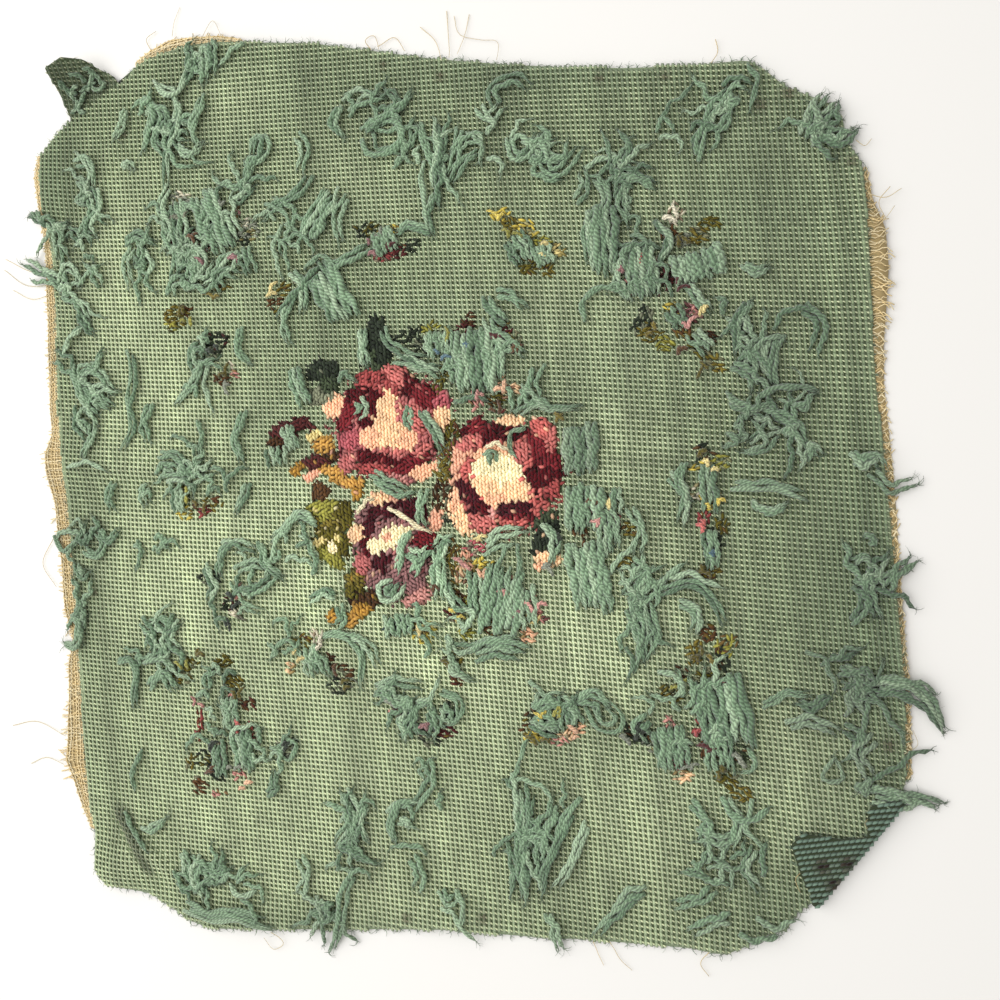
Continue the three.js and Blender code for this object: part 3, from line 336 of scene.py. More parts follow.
# Single loose yarns laid over the back, each by its first point and the steps to the next few
LAID_YARNS = (
    (-224, 145, -7, 5, -6, 2), (-221, 150, 5, -10, 1, -14), (-215, 112, -14, 8, -14, 6),
    (-217, 110, 5, 10, 5, -1, 1, -7), (-215, 110, 10, -6, 7, -11), (-208, 182, 9, 0, 5, -6, -1, -10),
    (-206, 170, 5, -6, -5, -6, 7, -2), (-196, 166, 4, -10, -8, -12, 3, -9), (-200, 150, -3, -10, 8, -2),
    (-176, 208, -2, -8, -5, -8), (-164, 214, 4, -10, -2, -12, -4, -9),
    (-158, 222, 7, -8, 7, -1, 5, 6, 1, 9), (-148, 214, 5, -8, -3, -13, -5, -13, -1, -20),
    (-133, 192, -4, 5, -8, -2, -1, -9, 7, -3), (-128, 212, -1, -10, -4, -10, 2, -8),
    (-160, 208, 8, -6, -6, -14, 8, -10), (-143, 186, 7, -6, 7, 6), (-137, 240, 4, -8, -2, -11, -7, -5),
    (-122, 240, 3, -8, -2, -10), (-103, 236, -7, -4, -8, -6), (-127, 236, 3, -8, -2, -8),
    (-178, 176, 4, 3, 4, -4), (-150, 165, -5, -13, 7, -12, -6, -12), (-128, 160, 4, -10, -6, -10, 4, -12),
    (-118, 162, 10, -2, 7, 6, -3, 8), (-104, 165, 4, 7, 6, 4, 2, 8, -5, 0, -1, -8), (-112, 152, 8, 0, 6, 8),
    (-141, 120, 1, 8, 9, 1, 6, -8, -5, -8, -8, 1), (-107, 125, -7, -4, -6, -7, -8, -6),
    (-118, 104, -4, 8, 8, 4, 8, -2), (-148, 150, -4, -12, 6, -12, -2, -14), (-172, 133, -4, -11, 2, -12),
    (-165, 131, 6, -9, -3, -10), (-175, 132, 7, 4, 10, -4), (-150, 104, 4, 8, 7, 2),
    (-134, 140, -8, -10, 3, -12), (-92, 150, 10, -4, 6, -10, 6, -4), (-64, 163, -8, -11, -12, -4, -8, -7),
    (-72, 187, 5, -9, -3, -13), (-50, 156, -4, -12, -12, -14), (-46, 152, -6, -12, 2, -14),
    (-82, 138, -4, -14, 4, -14), (-60, 115, -12, -11, -13, -14), (-62, 118, 10, -12, 7, -16),
    (-57, 112, 13, 4, 14, 7), (-78, 112, 8, -8, -2, -12), (-76, 96, -4, -10, 3, -10),
    (-48, 201, 8, 4, 10, -2), (-48, 198, -3, -8, 4, -8), (-38, 185, 12, 5, 10, 6, 6, 7),
    (-37, 180, 4, -8, 11, 0, 8, 8, -5, 8, -8, -2), (-20, 163, 8, 9, 2, 12), (-44, 192, 8, 6, 12, 2),
    (-5, 186, 5, -14, 8, -17), (28, 177, -10, -1, -7, -6), (25, 170, -8, -6, -7, -10),
    (4, 184, 3, -12, -4, -12, 2, -12), (14, 182, -1, -14, -4, -10), (5, 150, -5, -10, 2, -12),
    (-3, 166, -1, -16, 4, -20), (0, 128, -9, 4, -9, -3), (34, 189, -3, 8, 6, 7, 9, 1, 7, -5),
    (24, 190, 7, -7, 8, 6), (40, 174, 3, -10, 9, 0, 5, 11), (55, 165, 7, -12, 9, 2, 8, 11),
    (48, 172, 8, -4, 10, 2), (60, 176, 2, -10, 8, -6), (28, 95, 6, -11, 6, -4), (35, 98, 8, -2, 8, -7),
    (80, 156, 12, 4, 13, -3), (94, 147, 10, 4, 10, -4), (84, 150, 6, -10, -6, -10),
    (100, 150, -3, -12, 4, -12), (80, 80, -1, 10, 11, 6, 14, -2), (76, 138, 6, 8, -2, 10),
    (88, 134, -6, -12, 2, -14), (102, 118, 4, -14, 6, -12), (98, 112, -1, -12, 6, -10),
    (135, 155, 3, 13, 6, 12, 8, 10), (138, 170, 8, 2, 5, 7), (158, 200, 4, -10, -3, -13),
    (146, 190, 7, 4, 7, -4), (185, 162, 2, 10, 8, 10), (190, 162, 10, -5, 8, 8), (188, 158, 2, 12, 8, 8),
    (155, 104, 6, -5, 7, 3), (114, 128, 6, -10, -4, -12), (128, 96, 6, -8, 6, -6), (-205, 96, 3, -6, 6, -6),
    (-215, 73, 6, 9, 9, 8), (-208, 68, 5, -14, 8, -14), (-200, 68, 9, -8, 8, -10), (-200, 50, 8, 2, 9, -7),
    (-207, 45, 1, -11, 6, -9), (-195, 36, 1, -10, -6, -11), (-210, 10, 12, 3, 12, -5),
    (-206, 62, 10, 4, 6, 10), (-175, 75, 4, -15, -3, -15, 2, -13, -6, -12), (-158, 45, -4, -10, 2, -11),
    (-180, 1, -4, -6, 2, -8), (-162, 1, -4, -5, 1, -7), (-168, -30, 3, -8, -4, -8),
    (-130, 68, -4, -12, -11, -11), (-125, 65, -2, -13, 5, -12), (-132, 35, 4, -7, -3, -9),
    (-128, 76, -5, -6, 2, -8), (-155, 15, 9, 1, 8, -8, 8, -3), (-150, 2, 12, 2, 13, 8),
    (-145, -15, 7, 11, 13, 9), (-156, 6, 6, 6, 8, -2), (-102, 40, -5, -14, 3, -14),
    (-100, 1, -3, -8, -5, -8), (-105, 85, -1, -11, 6, -9), (-222, -28, 7, -8, 9, 4, 6, 12),
    (-200, -34, 5, -4, 5, 7, -6, 5), (-190, -24, 4, -6, 5, 6), (-208, -44, 5, -8, 5, 4),
    (-210, -72, 6, -8, -4, -8, -8, 0), (-206, -66, 6, -6, -2, -8), (-113, -30, -6, -8, -1, -12),
    (-110, -45, 10, 5, 10, -2), (-102, -58, 10, 2, 8, 8), (-118, -34, 10, 2, 10, -4),
    (-96, -30, 4, -12, 10, -8), (-112, -52, 8, -10, 10, -4), (-80, -20, -6, -14, -6, -16),
    (-126, -42, 6, -12, -4, -10), (160, 86, -6, -10, 1, -16), (185, 85, 8, -11, -3, -14),
    (150, 55, 7, -3, 3, -7), (175, 70, -5, -12, 2, -13), (162, 40, 13, 6, 15, -3),
    (165, 35, 12, -7, 8, -13), (152, 28, 8, 6, 6, -6, -8, -8), (183, 10, 3, 8, 6, -4),
    (166, 72, -2, -12, 4, -10), (148, 44, 10, -8, 12, 2), (172, 22, -8, -8, -8, 2), (204, 14, 6, -6, 8, 4),
    (212, 4, 10, -8, 12, 3), (206, 8, 8, 6, 6, -6), (222, -50, 4, 8, 8, 6), (206, -45, 8, -7, 4, -10),
    (205, -66, 7, 8, -2, 10), (122, 6, 8, -12, -2, -14), (150, -3, 16, 1, 19, -6), (160, -8, 8, -5, 8, 4),
    (130, 10, -4, -8, 6, -10), (115, -55, 13, 5, 12, -5, 6, -13), (104, -36, 8, -8, -6, -14),
    (114, -40, -8, -12, 6, -14), (100, -62, 8, -14, -4, -16), (112, -58, 4, -14, -6, -14),
    (120, -46, 12, 2, 14, -6), (90, -10, 6, -8, 1, -13), (100, -12, 6, -10, -2, -12),
    (126, -56, 10, -6, -2, -10), (-165, -72, 8, -8, -3, -12), (-158, -74, 10, -6, 6, 4),
    (-164, -98, 10, 4, 9, -6), (-160, -112, 8, 8, 4, -8), (-150, -88, 10, -4, -4, -12),
    (-146, -70, -4, -12, 6, -10), (-180, -98, 8, 2, 2, -12, -1, -14), (-165, -145, -5, -11, 0, -12),
    (-176, -180, 8, -10, 8, -10), (-165, -188, 8, 2, 7, 5), (-140, -198, 4, -8, 0, -10),
    (-124, -204, 6, -6, 6, 4), (-146, -210, 8, -8, 12, 2), (-130, -200, -4, -12, 6, -12),
    (-138, -226, 14, -3, 16, 2, 16, -3), (-140, -231, 18, -3, 18, 1, 18, -3), (-112, -214, 8, -6, 8, 4),
    (-80, -134, 6, -4, -4, -8, -8, 4), (-90, -166, 6, 6, -2, 8), (-88, -92, 4, 8, 8, 0, 6, -8),
    (-60, -80, 12, 1, 9, -7, 1, -19), (-66, -86, 8, -6, 4, -8), (-44, -80, 10, -4, 4, -10),
    (-30, -108, 13, 5, 12, -2), (-5, -112, -4, -10, -6, -9), (0, -115, 4, -7, -2, -8),
    (-26, -104, 8, -8, 10, 2), (5, -107, 9, -3, 1, -8, -8, -3), (0, -140, 3, -8, -3, -8, -9, -14),
    (-8, -164, -8, -1, -4, -9, 2, -12), (-8, -190, 5, -9, -2, -10), (-45, -158, 6, -10, -5, -12, -7, -10),
    (-50, -188, 10, -3, 10, -5), (-34, -166, -6, -10, 6, -10), (-42, -200, -6, -14, -2, -16, -6, -16),
    (-66, -224, 8, -5, 8, 5), (-70, -195, 4, -11, -4, -12), (-62, -216, 2, -12, -6, -10),
    (4, -208, 6, -6, 6, 3), (6, -216, 7, -3, 11, -13), (14, -206, 4, -8, -2, -12),
    (43, -145, 3, -15, -1, -16), (46, -172, 3, -18, 1, -20), (40, -178, 4, -16, -2, -14),
    (50, -150, 2, -16, -2, -18), (78, -155, -8, -13, -4, -16), (74, -164, -10, -22, -6, -20),
    (66, -160, -8, -16, -2, -16), (80, -166, -6, -18, -10, -16), (60, -214, 4, -8, 2, -11),
    (20, -85, 14, 6, 14, -1), (10, -85, 3, -10, 9, -5), (24, -90, 12, 4, 10, -2), (54, -112, 8, 4, 8, -2),
    (80, -110, 6, -10, 10, -1, 3, 8, -7, 6), (76, -108, 8, 4, 8, -6), (100, -80, 4, -8, -3, -8),
    (110, -112, -6, -6, 6, -8), (158, -126, 4, -8, -7, -4), (132, -152, 8, -10, -2, -12),
    (146, -150, 6, -12, -4, -14), (160, -150, -2, -14, 8, -10), (134, -166, 10, -6, 10, 2),
    (140, -178, 10, -6, 10, 4), (150, -158, 10, -2, 8, 6), (132, -182, 8, -8, 10, -2),
    (160, -172, -4, -12, 6, -10), (105, -200, -9, -8, -12, -14), (150, -205, -9, -3, -11, -7),
    (110, -196, -10, -4, -8, -12), (144, -196, -10, -6, -10, -4), (165, -107, 9, 6, 12, 1),
    (175, -113, 13, 3, 12, -5), (200, -86, 8, -6, -2, -12), (214, -88, -8, -10, 6, -12),
    (202, -112, 8, -6, -2, -12), (214, -116, -8, -10, 6, -12), (198, -128, -6, -10, 10, 0, -5, 10),
    (212, -93, 14, 1, 12, -8, 7, -15), (216, -98, 12, 1, 11, -9), (213, -143, 17, 0, 15, -4),
    (214, -148, 12, -2, 10, 3), (196, -100, -8, -6, -8, 2), (162, -206, 8, -4, 10, 4),
    (154, -214, 9, -3, 9, 3), (-37, 81, -1, -11, 4, -9), (-24, 82, 3, -8, 8, -5, 11, -3),
    (-20, 63, 10, -1, 8, -4, 7, -4), (-16, 66, 10, -4, 10, -1), (-37, 46, 3, -6, -4, -7),
    (-12, 41, -1, -7, 3, -7), (-6, 38, 5, -8, 4, -5, 3, -8), (-33, 5, 11, -5, 10, -6),
    (-30, 2, 10, -7, 12, 1), (28, 84, 4, -8, 8, -6, 6, -3), (34, 62, 8, 6, 6, -4),
    (44, 36, 12, 6, 8, -4, 14, 1), (48, 50, 6, -6, 12, -8), (54, 58, -3, -10, -5, -10),
    (60, 60, -4, -10, 2, -8), (50, 28, -6, -2, -2, -8, 4, -6), (28, 15, 5, 2, 3, -7),
    (-1, -2, -3, -10, 2, -10), (12, -26, -6, -1, -4, -4), (-10, -24, -4, -9, -3, -14),
    (-8, -32, 4, -8, -4, -8), (-14, -36, 8, -2, 8, 4), (-20, -49, -7, -3, 3, -8, 8, 3, 3, 6),
    (4, -31, 4, -13, 2, -16), (9, -30, -4, -14, -2, -14), (10, -50, 4, -8, 6, -4), (30, -32, 8, 6, 12, 2),
    (28, -36, 8, 4, 8, 2), (40, -30, -4, -16, 2, -22), (46, -30, 1, -12, -5, -12),
    (58, -20, 6, -8, -2, -12), (-52, -60, -6, 2, -8, -4), (-48, -62, 2, -8, -4, -6),
    (-62, -22, -10, 6, -6, -8, -10, -6), (-50, 54, 4, 4, 6, -4), (30, -82, 10, 4, 12, -4),
    (8, -78, 10, -4, 10, 2),
)

# Patches of matted yarn: middle, half sizes, and how many yarns of what length lie mostly which way
TANGLES = table(
    "x y half_x half_y count heading length",
    (-129, 147, 21, 22, 10, 90, 16), (-123, 121, 18, 12, 8, 40, 15), (-73, 144, 20, 22, 9, 80, 17),
    (-150, 198, 19, 13, 7, 60, 16), (-4, 173, 19, 17, 6, 80, 16), (97, 143, 16, 20, 12, 80, 17),
    (107, 109, 17, 16, 10, 60, 16), (160, 78, 15, 18, 8, 70, 17), (169, 28, 17, 12, 11, -30, 17),
    (-199, 54, 9, 34, 9, 80, 12), (-129, 8, 17, 19, 8, 60, 15), (-123, 67, 13, 15, 7, 50, 13),
    (-117, -111, 17, 26, 13, 90, 15), (-88, -141, 10, 12, 6, 0, 14), (-111, -51, 14, 21, 9, 70, 14),
    (-73, -40, 16, 15, 6, 30, 14), (-44, -180, 10, 22, 8, 85, 15), (-5, -163, 12, 24, 8, 80, 15),
    (53, -165, 21, 28, 13, 80, 19), (132, -100, 17, 26, 14, 85, 16), (206, -87, 12, 13, 10, 20, 17),
    (151, -185, 15, 16, 8, 60, 15), (-113, -214, 25, 13, 10, 40, 15), (103, -46, 18, 18, 9, 45, 17),
    (11, -75, 20, 13, 8, 10, 14), (27, 59, 17, 16, 7, 80, 14), (214, -36, 5, 13, 6, 30, 13),
    (-156, -85, 13, 20, 7, 70, 13), (40, 174, 14, 12, 6, 30, 15), (-27, 197, 15, 11, 5, 20, 15),
    (193, 167, 6, 8, 3, 60, 10), (-73, -83, 14, 10, 5, 30, 13), (67, -108, 20, 6, 7, 0, 13),
    (-12, -112, 16, 8, 6, 10, 13), (-163, -19, 12, 22, 5, 80, 13), (-200, 132, 9, 22, 6, 80, 13),
    (131, 177, 19, 10, 6, 60, 15),
)

# Places of the short coloured ends that show among the loose yarn, by their wool
COLOURED_ENDS = {
    "pink": (20, -38, 39, -54, 54, -58, 26, 46, 87, -18, 131, 79, -129, -117),
    "yellow": (12, -65, 36, 137, 141, -8, 59, -116),
    "brown": (4, -54, 44, 68, 36, 40, 82, -8, -132, 137, 126, 67, -53, -98, -123, -155),
    "shell": (28, -46, 39, 50, -102, -159, 74, -123),
    "mauve": (46, -64, -129, 123, -108, 124, -31, 123, 97, 103, -1, -122),
    "straw": (24, -28, -6, -76, 93, -10, -88, 104, 59, 118, 136, 84, 140, 7, -73, -88),
    "moss": (
        10, -88, -141, 96, 136, 55, 128, 118, 136, 14, 138, -39, -117, 63, -48, -103, -129, -90, -108, -111,
        57, -126, 136, -81, 145, -138,
    ),
    "lime": (12, 75, -138, 88, 46, 126, -138, -5, -138, -96, 67, -111, 128, -96),
    "slate": (20, 71, 7, 69, 141, -32),
    "maroon": (36, 76, -20, 125, 126, 97, 140, -127),
    "olive": (67, 32, -123, 103, 112, 75, -129, -11, 143, -85),
    "black": (67, -28, -123, 76, -108, -62, -113, -73, -123, -141, -82, -139, 4, -126, 107, -123),
    "grey": (
        61, -39, -117, 152, -26, 130, -114, 54, -111, -151, -17, -112, 131, -134, 152, -131, 102, -126,
    ),
    "faded": (-141, 148),
    "rose": (107, 107, 131, -120),
    "white": (124, 131, -62, -82),
    "coral": (139, -18, -108, -130),
}

# Cream yarns crossing the roses, in the same way
CREAM_YARNS = ((-22, -12, 12, -6, 12, -7), (-39, -15, 5, 5, 5, 3), (30, 19, 6, 1, 6, -3))

# Fine threads pulled from the canvas and lying loose beside it, in the same way
PULLED_THREADS = (
    (12, 240, 3, -10, 11, -4, 9, -2, 0, -10), (8, 243, 1, -11, 1, -14), (-32, 226, -4, 6, 5, 2, 3, -8),
    (20, 240, -2, -10, -4, -10), (-6, 236, 8, -8, 4, -11), (143, 214, 1, -6, -3, -6),
    (-148, 246, 1, 8, 3, 8), (-130, 242, 6, 10, 6, -9), (-160, 238, -4, 8, 6, 4), (222, 137, -5, -7, 3, -8),
    (212, 134, 8, -2, 7, 4), (213, 126, 6, -4, 5, 6), (-218, 118, -20, 4, -17, 8),
    (-218, 114, -22, 0, -16, 10), (-220, 110, -16, -4, -14, 6), (-250, -137, 16, 3, 19, -7),
    (-238, -158, 10, 4, 12, -3), (-223, -30, -7, -14, 9, -13), (-88, -238, 6, -6, -6, -4, -5, 6),
    (84, -226, 2, -6, 3, -6), (92, -225, 5, -9, 6, -5), (140, -225, -4, -7, 4, -6),
    (183, -183, -3, -4, 2, -6), (213, -155, -2, -4, 4, -5), (207, 160, 4, -3, 3, 3),
    (-29, 228, 9, 4, 6, -8), (228, -125, 6, 4, -2, 7),
)

# Furrows and creases where painted shade darkens the wool, and how far
SHADED_FURROWS = table(
    RIDGE_COLUMNS,
    (-170, -195, -57, 26, 6, 0.8), (-178, -183, -60, 16, 9, 0.4), (-163, -206, -62, 15, 4, 0.7),
    (106, 10, -4, 60, 7, 0.2), (-181, 8, 0, 60, 7, 0.15),
)

# Rust marks of the tacks that held the panel, on the back and on the folded front
MARK_COLUMNS = "x y radius"
RUST_MARKS = table(
    MARK_COLUMNS,
    (87, 200, 2.2), (119, 198, 2.5), (148, 191, 2.5), (5, 209, 2.6), (-26, 218, 2.6), (164, 180, 2.6),
    (222, -122, 3), (-13, -224, 2.6), (28, -220, 2.6), (-196, -60, 2), (-178, 194, 2.4), (205, 150, 2.4),
    (177, 185, 3),
)
FLAP_MARKS = table(MARK_COLUMNS, (192, -179, 3.4), (203, -177, 3.4), (197, -187, 3.2))

# Areas where the ground has yellowed and, towards the lower left, is lightened with painted light; where it
# kept its dye; where painted shade darkens the loose yarn; and where the yarn is paler
AREA_COLUMNS = "x y half_length half_width share"
FADED_AND_LIT_AREAS = table(
    AREA_COLUMNS,
    (-70, -140, 280, 270, 0.62), (-178, 105, 60, 110, 0.7), (-150, 40, 90, 120, 0.75),
    (160, 160, 55, 45, 0.15), (-110, 205, 50, 30, 0.4), (70, 90, 140, 90, 0.3), (95, 15, 50, 45, 0.5),
    (110, -170, 120, 100, 0.58), (185, -140, 60, 80, 0.5), (-60, 150, 150, 80, 0.25),
    (-168, -195, 50, 50, 0.5), (-130, -45, 130, 120, 0.9), (0, -80, 150, 110, 1), (-50, -40, 110, 100, 1.1),
    (70, -75, 110, 90, 0.9), (-40, -215, 130, 60, 0.66),
)
TEAL_AREAS = table(
    AREA_COLUMNS,
    (225, -60, 62, 170, 0.7), (-210, -60, 40, 120, 0.35), (-60, -240, 160, 30, 0.5),
    (60, 210, 190, 26, 0.45), (-222, 170, 30, 60, 0.6), (170, -200, 60, 40, 0.5), (190, 170, 40, 40, 0.5),
    (160, 150, 65, 65, 0.4),
)
SHADED_YARNS = table(
    AREA_COLUMNS,
    (165, 45, 75, 110, 0.6), (212, -95, 60, 120, 0.9), (78, 22, 40, 45, 0.6), (110, 130, 60, 70, 0.4),
    (-172, -192, 22, 30, 0.45),
)
PALE_YARNS = table(AREA_COLUMNS, (-8, -42, 60, 55, 1), (-60, -50, 60, 60, 0.7))

# Stitch lattice: rows fall to the right and columns lean to the left, as the worked canvas has pulled
ROW_FALL = np.radians(3)
COLUMN_LEAN = np.radians(4.7)
ROW = np.array([np.cos(ROW_FALL), -np.sin(ROW_FALL)])
COLUMN = np.array([-np.sin(COLUMN_LEAN), np.cos(COLUMN_LEAN)])
LATTICE_REACH = 110

# Slow waves in the lattice: height, the lengths of a radian in x and in y, and the start
X_WAVES = ((1.1, np.inf, 41, 0), (0.7, 57, 90, 0))
Y_WAVES = ((1.3, 63, np.inf, 1), (0.5, np.inf, 37, 0))

# Heights above the cloth's underside, and distances from the worked edge
CLOTH_THICKNESS = 2.4
SHEET_TOP = 1.4
BAR_CROWN = 2.55
DASH_CROWN = 2.68
YARN_SEAT = 2.7
MARGIN_REST = 0.9
EDGE_DROP = 4
MARGIN_REACH = 14
FLOOR_REACH = 26
KNOT_HOLD = 2.4
SLOPE_STEP = 0.5


def along_heading(heading):
    """Unit steps along a heading in degrees and to its left."""
    turn = np.radians(heading)
    return np.array([np.cos(turn), np.sin(turn)]), np.array([-np.sin(turn), np.cos(turn)])


def from_place(item, heading, x, y):
    """Distances of points from an item's place: along the heading, and to its left."""
    ahead, aside = along_heading(heading)
    from_x, from_y = x - item.x, y - item.y
    return from_x * ahead[0] + from_y * ahead[1], from_x * aside[0] + from_y * aside[1]


def placed(item, heading, along, to_left):
    """Flat points at distances from an item's place: along the heading, and to its left."""
    ahead, aside = along_heading(heading)
    return np.array([item.x, item.y]) + np.multiply.outer(along, ahead) + np.multiply.outer(to_left, aside)


def at_height(flat, height):
    """Flat points raised to their heights."""
    return np.concatenate([flat, height[..., None]], axis=-1)


def hump(distance, half_size):
    """Squared cosine of the distance: one at the middle, zero from the half size outwards."""
    share = np.minimum(1, np.abs(distance) / half_size)
    return np.cos(share * np.pi / 2) ** 2


def ridges(rows, x, y):
    """The sum of the rows' ridges at each point: each a hump along times a hump across, times its rise."""
    height = np.zeros(np.shape(x))
    for ridge in rows:
        along, across = from_place(ridge, ridge.turn, x, y)
        height = height + ridge.rise * hump(along, ridge.half_length) * hump(across, ridge.half_width)
    return height


def lift(x, y):
    """Height of the underside: all the swells and creases."""
    return ridges(SWELLS + CREASES, x, y)


def spot_share(areas, x, y):
    """Largest of the areas' humps at each point, times the area's share."""
    humps = [
        spot.share * hump(x - spot.x, spot.half_length) * hump(y - spot.y, spot.half_width) for spot in areas
    ]
    return np.max(humps, axis=0)


def unit(vectors):
    """Vectors brought to length one along the last axis."""
    return vectors / np.linalg.norm(vectors, axis=-1, keepdims=True)


def chance(count, seed):
    """Repeatable values between zero and one."""
    return np.random.default_rng(seed).random(count)


def spread(count, seed, low, high):
    """Repeatable values between a low and a high one."""
    return low + (high - low) * chance(count, seed)


def uneven(seed):
    """Repeatable value between zero and one for a whole number: the fraction of a large sine."""
    wave = np.sin(seed * 12.9898) * 43758.5453
    return wave - np.floor(wave)


def mix(first, second, share):
    """Colours blended by a share for each point."""
    share = np.asarray(share)[..., None]
    return np.asarray(first) * (1 - share) + np.asarray(second) * share


def travelled(corners):
    """Distance travelled at each corner of a line."""
    return np.concatenate([[0], np.cumsum(np.hypot(*np.diff(corners[:, :2], axis=0).T))])


def points_at(corners, at):
    """Points of a line of corners at the distances travelled, with every column blended alike."""
    return np.column_stack([np.interp(at, travelled(corners), column) for column in corners.T])


def bend_point(bend, along, out):
    """Flat point at a place along a bend line and a distance out from it."""
    return placed(bend, bend.heading, along, out)


def bend_reach(bend, along):
    """Flat length of a bent corner at places along its line, and zero beyond its ends."""
    places, lengths = ([getattr(row, column) for row in bend.rows] for column in ("along", "length"))
    return np.interp(along, places, lengths, left=0, right=0)


def bend_section(bend, length):
    """Distance out, height and tilt: an arc of the bend's radius up to its angle, then a straight run."""
    angle = np.radians(bend.angle)
    tilt = np.clip(length, 0, bend.radius * angle) / bend.radius
    straight = np.maximum(0, length - bend.radius * angle)
    out = np.minimum(length, 0) + bend.radius * np.sin(tilt) + straight * np.cos(tilt)
    return out, bend.radius * (1 - np.cos(tilt)) + straight * np.sin(tilt), tilt


def corner_list(*edges):
    """Flat corners of edges, one after another."""
    return [(row.x, row.y) for edge in edges for row in edge]


def bend_ends(bend):
    """Both ends of a bend line."""
    return [(bend.x, bend.y), tuple(bend_point(bend, bend.rows[-1].along, 0))]


OUTLINE = np.array(
    corner_list(LEFT_EDGE) + bend_ends(CURL) + corner_list(TOP_EDGE, RIGHT_EDGE) + bend_ends(FOLD)
    + corner_list(BOTTOM_EDGE)
)


def outside_by(x, y):
    """Distance outside the worked ground, negative inside: nearest edge, signed by a ray's crossings."""
    start = np.roll(OUTLINE, 1, axis=0)
    run = OUTLINE - start
    from_x = x[..., None] - start[:, 0]
    from_y = y[..., None] - start[:, 1]
    share = np.clip((from_x * run[:, 0] + from_y * run[:, 1]) / (run**2).sum(axis=1), 0, 1)
    nearest = np.hypot(from_x - share * run[:, 0], from_y - share * run[:, 1]).min(axis=-1)
    crosses = (start[:, 1] > y[..., None]) != (OUTLINE[:, 1] > y[..., None])
    rise = np.where(run[:, 1] == 0, 1, run[:, 1])
    hits = crosses & (from_x < run[:, 0] * from_y / rise)
    return np.where(hits.sum(axis=-1) % 2 == 1, -nearest, nearest)


def yarn_rest(x, y):
    """Height a loose yarn lies at: on the stitches, lower over the bare margin, then down to the table."""
    outside = outside_by(x, y)
    raised = lift(x, y)
    past_edge = raised + YARN_SEAT + (MARGIN_REST - YARN_SEAT) * np.clip(outside / EDGE_DROP, 0, 1)
    return past_edge * (1 - np.clip((outside - MARGIN_REACH) / (FLOOR_REACH - MARGIN_REACH), 0, 1))


def cloth_seats(x, y, height):
    """Places on the cloth with its row, column and normal directions, tilted by the slopes of its lift."""
    slope_x = (lift(x + SLOPE_STEP, y) - lift(x - SLOPE_STEP, y)) / (2 * SLOPE_STEP)
    slope_y = (lift(x, y + SLOPE_STEP) - lift(x, y - SLOPE_STEP)) / (2 * SLOPE_STEP)
    level = np.zeros_like(x)
    row, column = (
        unit(np.stack([level + way[0], level + way[1], way[0] * slope_x + way[1] * slope_y], axis=-1))
        for way in (ROW, COLUMN)
    )
    return SimpleNamespace(
        place=np.stack([x, y, lift(x, y) + height], axis=-1), row=row, column=column,
        normal=unit(np.stack([-slope_x, -slope_y, level + 1], axis=-1)),
    )


def bend_seats(bend, x, y, height):
    """Places on a bent corner: the flat point's distance out is wrapped round the bend, then raised off it.

    A negative height seats the stitch on the cloth's other face.
    """
    ahead, aside = along_heading(bend.heading)
    along, length = from_place(bend, bend.heading, x, y)
    out, up, tilt = bend_section(bend, length)
    face = np.sign(height)
    ahead_way = np.array([*ahead, 0])
    out_way = np.column_stack([np.outer(np.cos(tilt), aside), np.sin(tilt)])
    normal = np.column_stack([np.outer(-np.sin(tilt), aside), np.cos(tilt)])
    middle = at_height(bend_point(bend, along, out), up + CLOTH_THICKNESS / 2)
    return SimpleNamespace(
        place=middle + height * normal,
        row=(ROW @ ahead) * ahead_way + (ROW @ aside) * out_way,
        column=face * ((COLUMN @ ahead) * ahead_way + (COLUMN @ aside) * out_way),
        normal=face * normal,
    )


def on_bend(bend, x, y, inset):
    """True where a flat point lies on a bent corner, inside its edge by the inset."""
    along, length = from_place(bend, bend.heading, x, y)
    return (length > 0) & (length < bend_reach(bend, along) - inset)


def linked(name, data):
    """A new object in the scene for a mesh, light or camera."""
    made = bpy.data.objects.new(name, data)
    bpy.context.scene.collection.objects.link(made)
    return made


def make_piece(name, points, faces, uv, dyes, finish, slot, *nodes):
    """A joined mesh from whole arrays, with its finish; the slot is not used, and the solids that it stands
    for are hidden.

    Points are in millimetres with a dye for each, faces come in groups, and uv is one pair for each corner.
    """
    mesh = bpy.data.meshes.new(name)
    corners = np.concatenate([group.ravel() for group in faces]).astype(np.int32)
    sides = np.concatenate([np.full(len(group), group.shape[1]) for group in faces])
    starts = np.concatenate([[0], np.cumsum(sides)[:-1]]).astype(np.int32)
    mesh.vertices.add(len(points))
    mesh.vertices.foreach_set("co", (points * MILLIMETRE).astype(np.float32).ravel())
    mesh.loops.add(len(corners))
    mesh.loops.foreach_set("vertex_index", corners)
    mesh.polygons.add(len(sides))
    mesh.polygons.foreach_set("loop_start", starts)
    mesh.polygons.foreach_set("use_smooth", np.ones(len(sides), dtype=bool))
    if uv is not None:
        mesh.uv_layers.new(name="yarn").uv.foreach_set("vector", uv.astype(np.float32).ravel())
    shades = np.column_stack([dyes, np.ones(len(dyes))]).astype(np.float32)
    mesh.attributes.new("dye", "FLOAT_COLOR", "POINT").data.foreach_set("color", shades.ravel())
    mesh.update(calc_edges=True)
    mesh.materials.append(wool(finish))
    piece = linked(name, mesh)
    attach(piece, BODY)
    if nodes:
        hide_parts(*nodes)
    return piece


def join(parts):
    """Several sets of points, faces, uv and dyes as one, each set's faces counted on from the last."""
    points, faces, uv, dyes = zip(*parts)
    starts = np.cumsum([0] + [len(group) for group in points])
    counted = [group + start for groups, start in zip(faces, starts) for group in groups]
    maps = None if uv[0] is None else np.concatenate(uv)
    return np.concatenate(points), counted, maps, np.concatenate(dyes)


def grid_faces(rows, columns):
    """Four-cornered faces of a grid of points, counted row by row."""
    first = (np.arange(rows - 1)[:, None] * columns + np.arange(columns - 1)).ravel()
    return np.column_stack([first, first + 1, first + columns + 1, first + columns])


